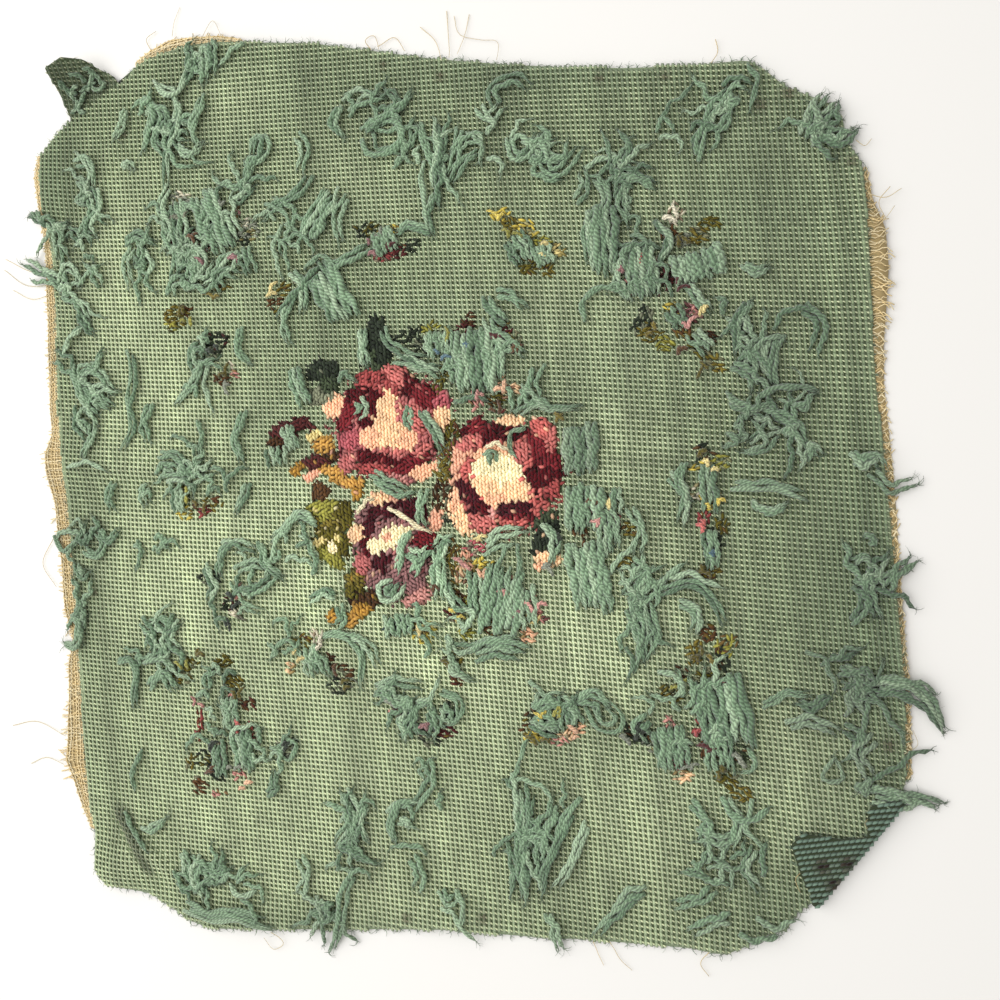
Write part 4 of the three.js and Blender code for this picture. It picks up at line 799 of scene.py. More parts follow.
def slab(lower, upper):
    """A closed slab between two grids of points: both faces, and a rim of faces round their borders."""
    rows, columns = lower.shape[:2]
    count = rows * columns
    index = np.arange(count).reshape(rows, columns)
    rim = np.concatenate([index[0, :-1], index[:-1, -1], index[-1, :0:-1], index[:0:-1, 0]])
    after = np.roll(rim, -1)
    top = grid_faces(rows, columns) + count
    bottom = grid_faces(rows, columns)[:, ::-1]
    sides = np.column_stack([rim, after, after + count, rim + count])
    points = np.concatenate([lower.reshape(-1, 3), upper.reshape(-1, 3)])
    return points, [np.concatenate([top, bottom, sides])]


def pillows(ring, seats, scale, turn, low, high, dyes):
    """Small closed cushions: a ring of points round each seat, turned and scaled, and one crown above it."""
    count, sides = len(seats.place), len(ring)
    across = np.cos(turn)[:, None] * seats.row + np.sin(turn)[:, None] * seats.column
    along = np.cos(turn)[:, None] * seats.column - np.sin(turn)[:, None] * seats.row
    local = ring[None] * scale[:, None, :]
    base = seats.place[:, None] + local[..., :1] * across[:, None] + local[..., 1:] * along[:, None]
    base = base + low * seats.normal[:, None]
    crown = seats.place + high * seats.normal
    points = np.concatenate([base, crown[:, None]], axis=1).reshape(-1, 3)
    start = np.arange(count)[:, None, None] * (sides + 1)
    edge = np.arange(sides)
    wedge = np.column_stack([edge, np.roll(edge, -1), np.full(sides, sides)])
    faces = [(start + wedge).reshape(-1, 3), start[:, 0] + edge[::-1]]
    return points, faces, None, np.repeat(dyes, sides + 1, axis=0)


def smooth_path(knots, steps):
    """Evenly stepped points along a soft curve through a few knots: cubic pieces with averaged tangents.

    The knots are given as the first one's place, then the step from each to the next.
    """
    knots = np.cumsum(np.reshape(knots, (-1, 2)), axis=0)
    padded = np.concatenate([2 * knots[:1] - knots[1:2], knots, 2 * knots[-1:] - knots[-2:-1]])
    place = np.linspace(0, len(knots) - 1, steps)
    piece = np.minimum(place.astype(int), len(knots) - 2)
    share = (place - piece)[:, None]
    before, start, end, after = (padded[piece + offset] for offset in range(4))
    bow = 2 * before - 5 * start + 4 * end - after
    twist = 3 * start - before - 3 * end + after
    return start + 0.5 * share * (end - before + share * (bow + share * twist))


def arc_path(x, y, heading, length, bend, steps):
    """Points of a strand that turns evenly by bend degrees over its length."""
    share = (np.arange(steps) + 0.5) / steps
    headings = np.radians(heading + bend * share)
    walk = np.column_stack([np.cos(headings), np.sin(headings)]) * length / steps
    return np.concatenate([[(x, y)], (x, y) + np.cumsum(walk, axis=0)])


# Strands of a yarn: offset, parting at the tip and thickness are shares of the yarn's radius
STRANDS = 2
STRAND_SIDES = 4
STRAND_TWIST = 13
STRAND_OFFSET = 0.45
STRAND_PARTING = 0.2
STRAND_FLATNESS = 0.8
STRAND_SHARE = 0.74
TIP_THINNING = 0.6


def path_frames(paths):
    """Sideways and upward directions at each point of each path."""
    ahead = unit(np.gradient(paths, axis=1) + 1e-9)
    side = unit(np.cross([0, 0, 1], ahead))
    return side, np.cross(ahead, side)


def left_of(paths):
    """Unit steps to the left at each point of flat paths."""
    ahead = np.gradient(paths, axis=1)
    return unit(np.stack([-ahead[..., 1], ahead[..., 0]], axis=-1))


def tubes(paths, radii, sides, dyes, squash=1.0):
    """Round strands: a ring of points carried along each path at its radius, flattened by the squash."""
    count, steps = paths.shape[:2]
    side, up = path_frames(paths)
    walked = np.cumsum(np.linalg.norm(np.diff(paths, axis=1, prepend=paths[:, :1]), axis=2), axis=1)
    angle = np.arange(sides) * 2 * np.pi / sides
    section = np.cos(angle)[:, None] * side[:, :, None] + squash * np.sin(angle)[:, None] * up[:, :, None]
    points = (paths[:, :, None] + radii[..., None, None] * section).reshape(-1, 3)
    ring = np.arange(sides)
    after = np.roll(ring, -1)
    first = (np.arange(count)[:, None] * steps + np.arange(steps - 1)).reshape(-1, 1) * sides
    quads = np.stack([first + ring, first + after, first + after + sides, first + ring + sides], axis=-1)
    starts = np.arange(count)[:, None] * steps * sides
    caps = np.concatenate([starts + ring[::-1], starts + (steps - 1) * sides + ring])
    start, end, around = (
        np.broadcast_to(part, quads.shape[:2])
        for part in (walked[:, :-1].reshape(-1, 1), walked[:, 1:].reshape(-1, 1), ring / sides)
    )
    beyond = around + 1 / sides
    uv = np.stack([start, around, start, beyond, end, beyond, end, around], axis=-1).reshape(-1, 2)
    uv = np.concatenate([uv, np.zeros((caps.size, 2))])
    return points, [quads.reshape(-1, 4), caps], uv, np.repeat(dyes, steps * sides, axis=0)


def bundles(paths, radii, dyes, seed):
    """Yarns as bundles of strands: each winds evenly about its yarn's path and parts from it at the tip.

    There is a radius for each step of each yarn, and a dye for each strand.
    """
    count, steps = paths.shape[:2]
    side, up = path_frames(paths)
    share = np.linspace(0, 1, steps)
    turn = 2 * np.pi * (chance(count, seed)[:, None, None] + np.arange(STRANDS)[:, None] / STRANDS)
    turn = turn + STRAND_TWIST * spread(count, seed + 1, 0.4, 1.4)[:, None, None] * share
    away = radii[:, None] * (STRAND_OFFSET + STRAND_PARTING * share**5)
    off = np.cos(turn)[..., None] * side[:, None] + STRAND_FLATNESS * np.sin(turn)[..., None] * up[:, None]
    middle = (paths[:, None] + away[..., None] * off).reshape(-1, steps, 3)
    tips = spread(count * STRANDS, seed + 2, 4, 16)[:, None]
    thick = np.repeat(radii, STRANDS, axis=0) * STRAND_SHARE * (1 - TIP_THINNING * share**tips)
    thick = thick * spread(count * STRANDS, seed + 3, 0.8, 1.2)[:, None]
    return tubes(middle, thick, STRAND_SIDES, dyes, STRAND_FLATNESS)


def length_property(name, thing, default, least):
    """A length that a user may change, in millimetres."""
    description = f"{thing}, in millimetres"
    return bpy.props.FloatProperty(name=name, description=description, default=default, min=least)


def dye_property(name, description, code):
    """A colour that a user may change, given as a six-digit code."""
    return bpy.props.FloatVectorProperty(
        name=name, description=description, subtype="COLOR", size=3, min=0, max=1, default=linear(code)
    )


class PanelSizes(bpy.types.PropertyGroup):
    """Sizes that a maker of such a panel would change."""

    pitch: length_property("Stitch pitch", "Distance between stitches", 2.54, 1)
    fine_pitch: length_property("Fine pitch", "Distance between the bouquet's stitches", 1.8, 0.8)
    yarn_radius: length_property("Yarn radius", "Half the thickness of the loose wool", 1.4, 0.3)
    thread_radius: length_property("Thread radius", "Half the thickness of a canvas thread", 0.3, 0.1)


class PanelColours(bpy.types.PropertyGroup):
    """Colours of the wools, the canvas and the table."""

    ground: dye_property("Ground wool", "Sage wool of the ground", "8d9d7a")
    # The faded dye is also mixed in where painted light lightens the ground towards the lower left
    faded: dye_property("Faded wool", "Ground wool where light has yellowed it", "d6e4ba")
    teal: dye_property("Kept wool", "Ground wool where it was turned under and kept its dye", "6b7d62")
    dash: dye_property("Bare dashes", "Canvas showing between the stitches", "d2d9b0")
    worn_dash: dye_property("Worn dashes", "Canvas between stitches where light has yellowed it", "eef2c6")
    # Dark dye of the canvas sheet: painted shade that stands for the shadow in the holes between the stitches
    hollow: dye_property("Canvas holes", "Shade of the holes in the canvas", "576546")
    yarn: dye_property("Loose yarn", "Sea-green wool of the floats and tails", "85a17f")
    yarn_dark: dye_property("Dark yarn", "Darkest of the loose wool", "668163")
    yarn_pale: dye_property("Pale yarn", "Palest of the loose wool", "aac19f")
    canvas: dye_property("Canvas", "Bare canvas of the margins", "f0d498")
    canvas_pale: dye_property("Pale canvas", "Frayed ends of the canvas", "fff0c8")
    front: dye_property("Front wool", "Wool on the front of the folded corner", "6f8675")
    rust: dye_property("Rust", "Marks left by tacks", "4a3020")
    floor: dye_property("Table", "Plain pale table", "eae8e4")


def sizes():
    """The sizes in use."""
    return bpy.context.scene.panel_sizes


def colours():
    """The colours in use."""
    return bpy.context.scene.panel_colours


def add_node(tree, kind, inputs=None, **settings):
    """A shader node with its settings, its inputs set or linked."""
    made = tree.nodes.new(kind)
    for name, value in settings.items():
        setattr(made, name, value)
    for socket, value in (inputs or {}).items():
        if isinstance(value, bpy.types.NodeSocket):
            tree.links.new(value, made.inputs[socket])
        else:
            made.inputs[socket].default_value = value
    return made


def noise(tree, coordinates, scale, roughness=0.5):
    """Value of a noise on the coordinates."""
    inputs = {"Vector": coordinates, "Scale": scale, "Detail": 3, "Roughness": roughness}
    return add_node(tree, "ShaderNodeTexNoise", inputs).outputs["Fac"]


def ranged(tree, value, low, high, **seen):
    """A value carried from one range, zero to one unless given, to another."""
    inputs = {"Value": value, "From Min": 0, "From Max": 1, "To Min": low, "To Max": high, **seen}
    return add_node(tree, "ShaderNodeMapRange", inputs).outputs["Result"]


def reckoned(tree, operation, *values):
    """Result of an operation on values."""
    return add_node(tree, "ShaderNodeMath", dict(enumerate(values)), operation=operation).outputs[0]


def shaded(tree, colour, factor):
    """A colour made lighter or darker by a factor."""
    return add_node(tree, "ShaderNodeVectorMath", {0: colour, "Scale": factor}, operation="SCALE").outputs[0]


def empty_material(name):
    """A new material without nodes."""
    material = bpy.data.materials.new(name)
    material.use_nodes = True
    material.node_tree.nodes.clear()
    return material


# Finishes: whether fibres follow a yarn, how far they shade the dye, the sheen and the depth of the bumps
FINISHES = table(
    "name on_yarn contrast sheen bump",
    ("canvas_holes", False, 0.5, 0.12, 0.35), ("worked_ground", False, 0.55, 0.12, 0.35),
    ("canvas_dash", False, 0.4, 0.1, 0.35), ("motif_wool", False, 0.6, 0.05, 0.35),
    ("loose_wool", True, 1.1, 0.3, 0.9), ("frayed_canvas", True, 0.5, 0.1, 0.35),
)
FIBRE_SCALE = 1400
YARN_FIBRES = (0.5, 7, 1)
SKEIN_SCALE = 38
SKEIN_SHADES = (0.88, 1.1)
BUMP_DISTANCE = 0.0004
WOOL_SURFACE = {"Roughness": 0.93, "Sheen Roughness": 0.6, "Specular IOR Level": 0.12}

# Windings of the plies on a strand: a full wave for each 2.2 mm along, and two waves each time round; the
# wave paints highlights on the plies and shade between them
PLY_STEPS = (0.286, 1.257, 0)
PLY_LIGHT_AND_SHADE = (0.56, 1.26)
PLY_RELIEF = 0.8


def fibre_group():
    """Wool fibres: noise on the given coordinates lightens and darkens the dye and raises the surface.

    A broad second noise on the object's place shifts whole areas, as wool from several skeins does.
    """
    known = bpy.data.node_groups.get("wool_fibres")
    if known:
        return known
    tree = bpy.data.node_groups.new("wool_fibres", "ShaderNodeTree")
    for way, name, kind in (
        ("INPUT", "Dye", "Color"), ("INPUT", "Coordinates", "Vector"), ("INPUT", "Scale", "Float"),
        ("INPUT", "Contrast", "Float"), ("OUTPUT", "Colour", "Color"), ("OUTPUT", "Height", "Float"),
    ):
        tree.interface.new_socket(name, in_out=way, socket_type="NodeSocket" + kind)
    given = add_node(tree, "NodeGroupInput").outputs
    place = add_node(tree, "ShaderNodeTexCoord").outputs["Object"]
    fibres = noise(tree, given["Coordinates"], given["Scale"], 0.65)
    fine = reckoned(tree, "MULTIPLY_ADD", reckoned(tree, "SUBTRACT", fibres, 0.5), given["Contrast"], 1)
    skeins = noise(tree, place, SKEIN_SCALE, 0.6)
    broad = ranged(tree, skeins, *SKEIN_SHADES, **{"From Min": 0.25, "From Max": 0.75})
    colour = shaded(tree, given["Dye"], reckoned(tree, "MULTIPLY", fine, broad))
    add_node(tree, "NodeGroupOutput", {"Colour": colour, "Height": fibres})
    return tree


def wool(name):
    """Wool finish: the piece's own dye under fibres that follow the yarn, or lie every way on short stitches.

    On yarn, a slanting wave winds the plies: it paints highlights and shade into the dye, and is added to the
    height of the bumps.
    """
    known = bpy.data.materials.get(name)
    if known:
        return known
    finish = next(row for row in FINISHES if row.name == name)
    material = empty_material(name)
    tree = material.node_tree
    shade = add_node(tree, "ShaderNodeAttribute", attribute_name="dye").outputs["Color"]
    place = add_node(tree, "ShaderNodeTexCoord")
    coordinates, scale = place.outputs["Object"], FIBRE_SCALE
    if finish.on_yarn:
        coordinates, wound = (
            add_node(tree, "ShaderNodeMapping", {"Vector": place.outputs["UV"], "Scale": steps}).outputs[0]
            for steps in (YARN_FIBRES, PLY_STEPS)
        )
        scale = 1
        plies = add_node(
            tree, "ShaderNodeTexWave",
            {"Vector": wound, "Scale": 1, "Distortion": 1, "Detail": 2, "Detail Scale": 2},
            bands_direction="DIAGONAL",
        ).outputs["Fac"]
        # Painted highlights on the plies and painted shade between them
        shade = shaded(tree, shade, ranged(tree, plies, *PLY_LIGHT_AND_SHADE))
    fibres = add_node(
        tree, "ShaderNodeGroup",
        {"Dye": shade, "Coordinates": coordinates, "Scale": scale, "Contrast": finish.contrast},
        node_tree=fibre_group(),
    )
    height = fibres.outputs["Height"]
    if finish.on_yarn:
        height = reckoned(tree, "MULTIPLY_ADD", plies, PLY_RELIEF, height)
    raised = add_node(
        tree, "ShaderNodeBump", {"Height": height, "Strength": finish.bump, "Distance": BUMP_DISTANCE}
    )
    shader = add_node(
        tree, "ShaderNodeBsdfPrincipled",
        {
            "Base Color": fibres.outputs["Colour"], "Normal": raised.outputs["Normal"],
            "Sheen Weight": finish.sheen, **WOOL_SURFACE,
        },
    )
    add_node(tree, "ShaderNodeOutputMaterial", {"Surface": shader.outputs["BSDF"]})
    return material


# Outlines of single stitches, in shares of the pitch: across, along
BAR_RING = np.array(
    [(0.27, -0.62), (0.36, 0.05), (0.25, 0.62), (-0.27, 0.62), (-0.36, -0.05), (-0.25, -0.62)]
)
DASH_RING = np.array([(0.52, 0.02), (-0.08, 0.22), (-0.52, -0.02), (0.08, -0.22)])
FINE_RING = np.array([(0.34, -0.95), (0.56, 0), (0.34, 0.95), (-0.34, 0.95), (-0.56, 0), (-0.34, -0.95)])
FRONT_RING = np.array([(0.2, -0.75), (0.34, 0), (0.2, 0.75), (-0.2, 0.75), (-0.34, 0), (-0.2, -0.75)])
DASH_TURN = np.radians(-24)
FRONT_TURN = np.radians(14)

# Ground stitches: place in the pitch, turn, crown and depth, and width with its growth where wool has faded
STITCHES = table(
    "kind offset ring turn crown low width growth dye worn_dye finish slot",
    ("bars", 0, BAR_RING, 0, BAR_CROWN, -0.7, 1.02, -0.12, "ground", "faded", "worked_ground", "ground_wool"),
    (
        "dashes", 0.5, DASH_RING, DASH_TURN, DASH_CROWN, -0.6, 0.9, 0.2, "dash", "worn_dash",
        "canvas_dash", "bare_canvas",
    ),
)

# Sheet: steps of its grids, the outline's four corners, the width and dye of its rim, painted shade on its
# bent corners, and how far its painted hole shade lightens in faded and lit areas
SHEET_STEPS = 90
BEND_STEPS = (33, 25)
SHEET_CORNERS = ((-220, -222), (-180, 205), (215, 195), (215, -165))
BEND_HALF = 0.7
EDGE_INSET = 0.1
RIM_WIDTH = 2.5
RIM_DYE = 0.8
CURL_PAINTED_SHADE = 0.6
FLAP_PAINTED_SHADE = 0.3
HOLE_LIGHTENING = 0.6

# Colour of the ground's stitches: kept dye, rust, painted shade in furrows, streaks of columns, painted shade
# on the curled corner, and how near the bouquet they come
TEAL_DEPTH = 0.8
RUST_DEPTH = 0.6
DEEPEST_FURROW_SHADE = 0.62
STREAK_SEED = 77
STREAK_WIDTH = 3
STREAK_DEPTH = 0.6
CURL_STITCH_PAINTED_SHADE = 0.5
BOUQUET_RIM = 0.95

# Front of the folded corner: the height of its stitches, how high they must lie to show, and its stains
FRONT_SEAT = -1.3
FLAP_CLEAR = 1.2
STAIN_DEPTH = 0.8


def in_patch(patch, x, y):
    """Share of the way from a patch's middle, zero, to its rim, one: the radius of a turned ellipse."""
    along, across = from_place(patch, patch.turn, x, y)
    return np.hypot(along / patch.long, across / patch.wide)


def waves(rows, x, y):
    """Sum of sines across the cloth."""
    return sum(height * np.sin(x / in_x + y / in_y + start) for height, in_x, in_y, start in rows)


def lattice(offset):
    """Flat points of the stitch lattice, shifted by a share of the pitch along the row, softly wavy."""
    count = np.arange(-LATTICE_REACH, LATTICE_REACH + 1)
    column, row = (axis.ravel() * sizes().pitch for axis in np.meshgrid(count + offset, count))
    x = column * ROW[0] + row * COLUMN[0]
    y = column * ROW[1] + row * COLUMN[1]
    return x + waves(X_WAVES, x, y), y + waves(Y_WAVES, x, y)


def open_ground(x, y):
    """True where the ground is worked: inside the outline and clear of the bouquet's fine stitches."""
    covered = np.min([in_patch(patch, x, y) for patches in BOUQUET.values() for patch in patches], axis=0)
    return (outside_by(x, y) < -EDGE_INSET) & (covered > BOUQUET_RIM)


def rust_share(marks, x, y):
    """How far a rust mark has stained each point: one in its middle, fading by a bell curve."""
    rings = [np.exp(-((x - mark.x) ** 2 + (y - mark.y) ** 2) / mark.radius**2) for mark in marks]
    return np.clip(1.2 * np.max(rings, axis=0), 0, 1)


def ground_dyes(x, y, start, faded, seed):
    """A stitch's colour: the ground's dye, yellowed and lightened with painted light in some areas and kept
    in others, darker with painted shade in furrows, and stained by rust.

    It is uneven from one stitch to the next, and from one run of columns to the next.
    """
    # Painted light: towards the lower left the faded areas lighten the ground as well as yellowing it
    shade = mix(start, faded, spot_share(FADED_AND_LIT_AREAS, x, y))
    shade = mix(shade, colours().teal, spot_share(TEAL_AREAS, x, y) * TEAL_DEPTH)
    column = np.round((x - y * COLUMN[0] / COLUMN[1]) / sizes().pitch).astype(int)
    even = np.full(STREAK_WIDTH, 1 / STREAK_WIDTH)
    runs = np.convolve(chance(4 * LATTICE_REACH, STREAK_SEED), even, "same")
    streak = 1 + STREAK_DEPTH * (runs[column + 2 * LATTICE_REACH] - 0.5)
    # Painted shade: stitches darken along the furrows and creases
    furrow_shade = 1 - np.minimum(DEEPEST_FURROW_SHADE, ridges(SHADED_FURROWS, x, y))
    shade = shade * (streak * furrow_shade * spread(len(x), seed, 0.86, 1.14))[:, None]
    return mix(shade, colours().rust, RUST_DEPTH * rust_share(RUST_MARKS, x, y))


def ground_pieces(name, seat, keep, seed, shade=1):
    """Ground stitches on one face: upright wool bars, and slanting dashes of canvas between them."""
    for stitch in STITCHES:
        x, y = lattice(stitch.offset)
        chosen = keep(x, y)
        x, y = x[chosen], y[chosen]
        count = len(x)
        width = stitch.width + stitch.growth * spot_share(FADED_AND_LIT_AREAS, x, y)
        width = width * spread(count, seed + 1, 0.9, 1.1)
        scale = sizes().pitch * np.column_stack([width, spread(count, seed + 2, 0.92, 1.08)])
        turns = stitch.turn + spread(count, seed + 3, -0.11, 0.11)
        start, faded = (getattr(colours(), dye) for dye in (stitch.dye, stitch.worn_dye))
        dyes = shade * ground_dyes(x, y, start, faded, seed)
        made = pillows(stitch.ring, seat(x, y, stitch.crown), scale, turns, stitch.low, 0, dyes)
        make_piece(name.format(stitch.kind), *made, stitch.finish, stitch.slot)


def half_ground(sign):
    """Test for worked ground above the middle of the panel, or below it for a negative sign."""
    return lambda x, y: open_ground(x, y) & (y * sign >= 0)


def outline_side(start, end):
    """Evenly spaced points of the outline from the corner nearest one place to the corner nearest another."""
    first, last = (np.hypot(*(OUTLINE - place).T).argmin() for place in (start, end))
    corners = np.roll(OUTLINE, -first, axis=0)[: (last - first) % len(OUTLINE) + 1]
    return points_at(corners, np.linspace(0, travelled(corners)[-1], SHEET_STEPS))


def level_sheet():
    """The cloth's level part as a slab: a grid blended between the four sides of the outline.

    Each point is the sum of the two straight blends between facing sides, less the blend of the four corners.
    """
    left, top, right, bottom = (
        outline_side(corner, SHEET_CORNERS[(place + 1) % 4]) for place, corner in enumerate(SHEET_CORNERS)
    )
    right, bottom = right[::-1], bottom[::-1]
    up = np.linspace(0, 1, SHEET_STEPS)[:, None, None]
    over = np.linspace(0, 1, SHEET_STEPS)[None, :, None]
    sides = (1 - over) * left[:, None] + over * right[:, None]
    ends = (1 - up) * bottom[None] + up * top[None]
    low = (1 - over) * bottom[0] + over * bottom[-1]
    high = (1 - over) * top[0] + over * top[-1]
    flat = sides + ends - (1 - up) * low - up * high
    under = at_height(flat, lift(flat[..., 0], flat[..., 1]))
    return slab(under, under + (0, 0, SHEET_TOP))


def bent_sheet(bend):
    """A bent corner of the cloth as a slab, from just inside its line out to its edge."""
    along = np.linspace(bend.rows[0].along, bend.rows[-1].along, BEND_STEPS[0])
    length = (bend_reach(bend, along)[:, None] + 1) * np.linspace(0, 1, BEND_STEPS[1]) - 1
    flat = bend_point(bend, along[:, None] + np.zeros_like(length), length).reshape(-1, 2)
    upper, lower = (
        bend_seats(bend, *flat.T, height).place.reshape(*length.shape, 3)
        for height in (BEND_HALF, -BEND_HALF)
    )
    return slab(upper, lower)


class SheetOperator(bpy.types.Operator):
    """Lay the canvas sheet with its swells, creases and bent corners"""

    bl_idname = "needlepoint.sheet"
    bl_label = "Canvas Sheet"

    def execute(self, context):
        made = [level_sheet(), bent_sheet(CURL), bent_sheet(FOLD)]
        shades = (1, CURL_PAINTED_SHADE, FLAP_PAINTED_SHADE)
        points, faces, _, shade = join([
            (*sheet, None, np.full(len(sheet[0]), value)) for sheet, value in zip(made, shades)
        ])
        # Painted shade: the sheet shows dark through the holes between stitches and darker still on the bent
        # corners, its holes lighter in the faded and lit areas; its rim takes the ground's dye
        x, y = points[:, 0], points[:, 1]
        level = np.arange(len(points)) < len(made[0][0])
        hole_shade = shade * (1 + HOLE_LIGHTENING * spot_share(FADED_AND_LIT_AREAS, x, y))
        rim = level * np.clip(1 + outside_by(x, y) / RIM_WIDTH, 0, 1)
        dyes = mix(hole_shade[:, None] * np.asarray(colours().hollow), colours().ground, RIM_DYE * rim)
        sheet = make_piece(
            "canvas_sheet", points, faces, None, dyes, "canvas_holes", "ground_wool", "canvas_panel"
        )
        return {"FINISHED"}


class GroundOperator(bpy.types.Operator):
    """Work the sage ground over the sheet, in an upper and a lower half"""

    bl_idname = "needlepoint.ground"
    bl_label = "Ground Stitches"

    def execute(self, context):
        ground_pieces("ground_{}_upper", cloth_seats, half_ground(1), 12)
        ground_pieces("ground_{}_lower", cloth_seats, half_ground(-1), 10)
        return {"FINISHED"}


class CornersOperator(bpy.types.Operator):
    """Work the curled corner's back and the folded corner's front"""

    bl_idname = "needlepoint.corners"
    bl_label = "Bent Corners"

    def execute(self, context):
        # Painted shade darkens the curled corner's back, which turns away from the light
        ground_pieces(
            "curl_{}", lambda x, y, height: bend_seats(CURL, x, y, height - CLOTH_THICKNESS / 2),
            lambda x, y: on_bend(CURL, x, y, EDGE_INSET), 31, CURL_STITCH_PAINTED_SHADE,
        )
        x, y = lattice(0)
        chosen = on_bend(FOLD, x, y, EDGE_INSET)
        chosen &= bend_seats(FOLD, x, y, FRONT_SEAT).place[:, 2] > FLAP_CLEAR
        x, y = x[chosen], y[chosen]
        seats = bend_seats(FOLD, x, y, FRONT_SEAT)
        shade = np.asarray(colours().front) * spread(len(x), 41, 0.85, 1.15)[:, None]
        stain = rust_share(FLAP_MARKS, seats.place[:, 0], seats.place[:, 1])
        shade = mix(shade, colours().rust, stain) * (1 - STAIN_DEPTH * stain**3)[:, None]
        scale = np.full((len(x), 2), sizes().pitch)
        made = pillows(FRONT_RING, seats, scale, np.full(len(x), FRONT_TURN), -0.7, 0.7, shade)
        make_piece("folded_front", *made, "worked_ground", "ground_wool")
        return {"FINISHED"}


# Slots of the record by the kind of piece
MOTIF_SLOTS = {
    "rose": "rose_wool", "leaf_dark_upper": "leaf_dark_wool", "leaf_dark_left": "leaf_dark_wool",
    "leaf_black": "leaf_dark_wool", "leaf_maroon": "leaf_maroon_wool", "leaf_mustard": "leaf_mustard_wool",
    "leaf_olive": "leaf_olive_wool", "leaf_brown": "leaf_brown_wool",
}

# Fine stitches: heights in millimetres, looseness, flecks of a neighbour's wool, and painted shade at a
# patch's rim
FINE_ROW = 1.2
FINE_SEAT = 2.1
ROSE_SWELL = 1.5
LEAF_SWELL = 0.6
PATCH_RELIEF = 0.75
PATCH_STRAY = 0.6
PATCH_TURN = 1.25
ROW_TURN = 0.4
HEART_NEATNESS = 0.4
HEART_WOOLS = ("cream", "ivory", "shell", "peach", "straw")
FLECK_SHARE = 0.1
FLECK_DEPTH = 0.6
PATCH_SHADE = 1.08
RIM_PAINTED_SHADE = 0.48


def dome(share):
    """Root of one minus the squared share of the way to the rim, and zero beyond it."""
    return np.sqrt(np.clip(1 - share**2, 0, 1))


def worked_patches(patches, swell, seed):
    """Fine stitches over a set of patches: each lattice point takes the last patch it falls in.

    Its height is the cloth's, plus a dome over the first patch and a low one over its own.
    """
    pitch = sizes().fine_pitch
    first = patches[0]
    reach_x = max(patch.long for patch in patches) + max(abs(patch.x - first.x) for patch in patches)
    reach = max(reach_x, max(patch.long + abs(patch.y - first.y) for patch in patches))
    count = np.arange(-int(reach / pitch) - 1, int(reach / pitch) + 2)
    across, along = (axis.ravel() for axis in np.meshgrid(count, count))
    row = FINE_ROW * (along + 0.5 * (across % 2))
    x = first.x + pitch * (across * ROW[0] + row * COLUMN[0])
    y = first.y + pitch * (across * ROW[1] + row * COLUMN[1])
    shares = np.array([in_patch(patch, x, y) for patch in patches])
    inside = shares < spread(len(x), seed, 0.79, 1.21)
    kept = inside.any(axis=0)
    last = len(patches) - 1 - np.argmax(inside[::-1], axis=0)
    own = np.take_along_axis(shares, last[None], axis=0)[0]
    rise = swell * dome(shares[0]) + PATCH_RELIEF * dome(own)
    x, y, across, last, rise, own = (values[kept] for values in (x, y, across, last, rise, own))
    total = len(x)
    plain = np.array([patch.wool not in HEART_WOOLS for patch in patches])[last]
    loose = HEART_NEATNESS + (1 - HEART_NEATNESS) * plain
    stray_x, stray_y = PATCH_STRAY * loose * spread((2, total), seed + 7, -0.5, 0.5)
    seats = cloth_seats(x + stray_x, y + stray_y, FINE_SEAT + rise + spread(total, seed + 1, 0, 0.5))
    turn = plain * (2 * uneven(last + seed) - 1) + np.where(across % 2 == 0, ROW_TURN, -ROW_TURN)
    turn = turn + PATCH_TURN * loose * spread(total, seed + 2, -0.5, 0.5)
    scale = pitch * spread((total, 2), seed + 3, 0.9, 1.25)
    wools = np.array([linear(WOOLS[patch.wool]) for patch in patches])
    fleck = np.random.default_rng(seed + 5).integers(0, len(patches), total)
    shade = mix(wools[last], wools[fleck], FLECK_DEPTH * plain * (chance(total, seed + 6) < FLECK_SHARE))
    # Painted shade: stitches darken towards a patch's rim, in the gaps where petals meet
    shade = shade * (spread(total, seed + 4, 0.84, 1.2) * (PATCH_SHADE - RIM_PAINTED_SHADE * plain * own**3))[:, None]
    return pillows(FINE_RING, seats, scale, turn, -0.6, 0.35, shade)


class BouquetOperator(bpy.types.Operator):
    """Work the three roses and the leaves round them in fine stitches"""

    bl_idname = "needlepoint.bouquet"
    bl_label = "Roses and Leaves"

    def execute(self, context):
        for seed, (name, patches) in enumerate(BOUQUET.items()):
            rose = name.startswith("rose")
            made = worked_patches(patches, ROSE_SWELL if rose else LEAF_SWELL, 100 + seed * 10)
            make_piece(f"worked_{name}", *made, "motif_wool", MOTIF_SLOTS["rose" if rose else name], name)
        return {"FINISHED"}


# Strokes of the sprays, in millimetres, and the wools that mix in among them
SPRAY_STEP = 2
SPRAY_STRAY = 1.8
SPRAY_SEAT = 2.7
SPRAY_REACH = 1.2
SPRAY_SHARE = 0.8
SPRAY_RING = np.array([(0.4, -1.9), (0.8, 0), (0.4, 1.9), (-0.4, 1.9), (-0.8, 0), (-0.4, -1.9)])
SPRAY_MIX = ("moss", "brown", "faded", "maroon", "faded", "black", "olive")
MIXED_FROM = 0.72
MIXED_DEPTH = 0.75


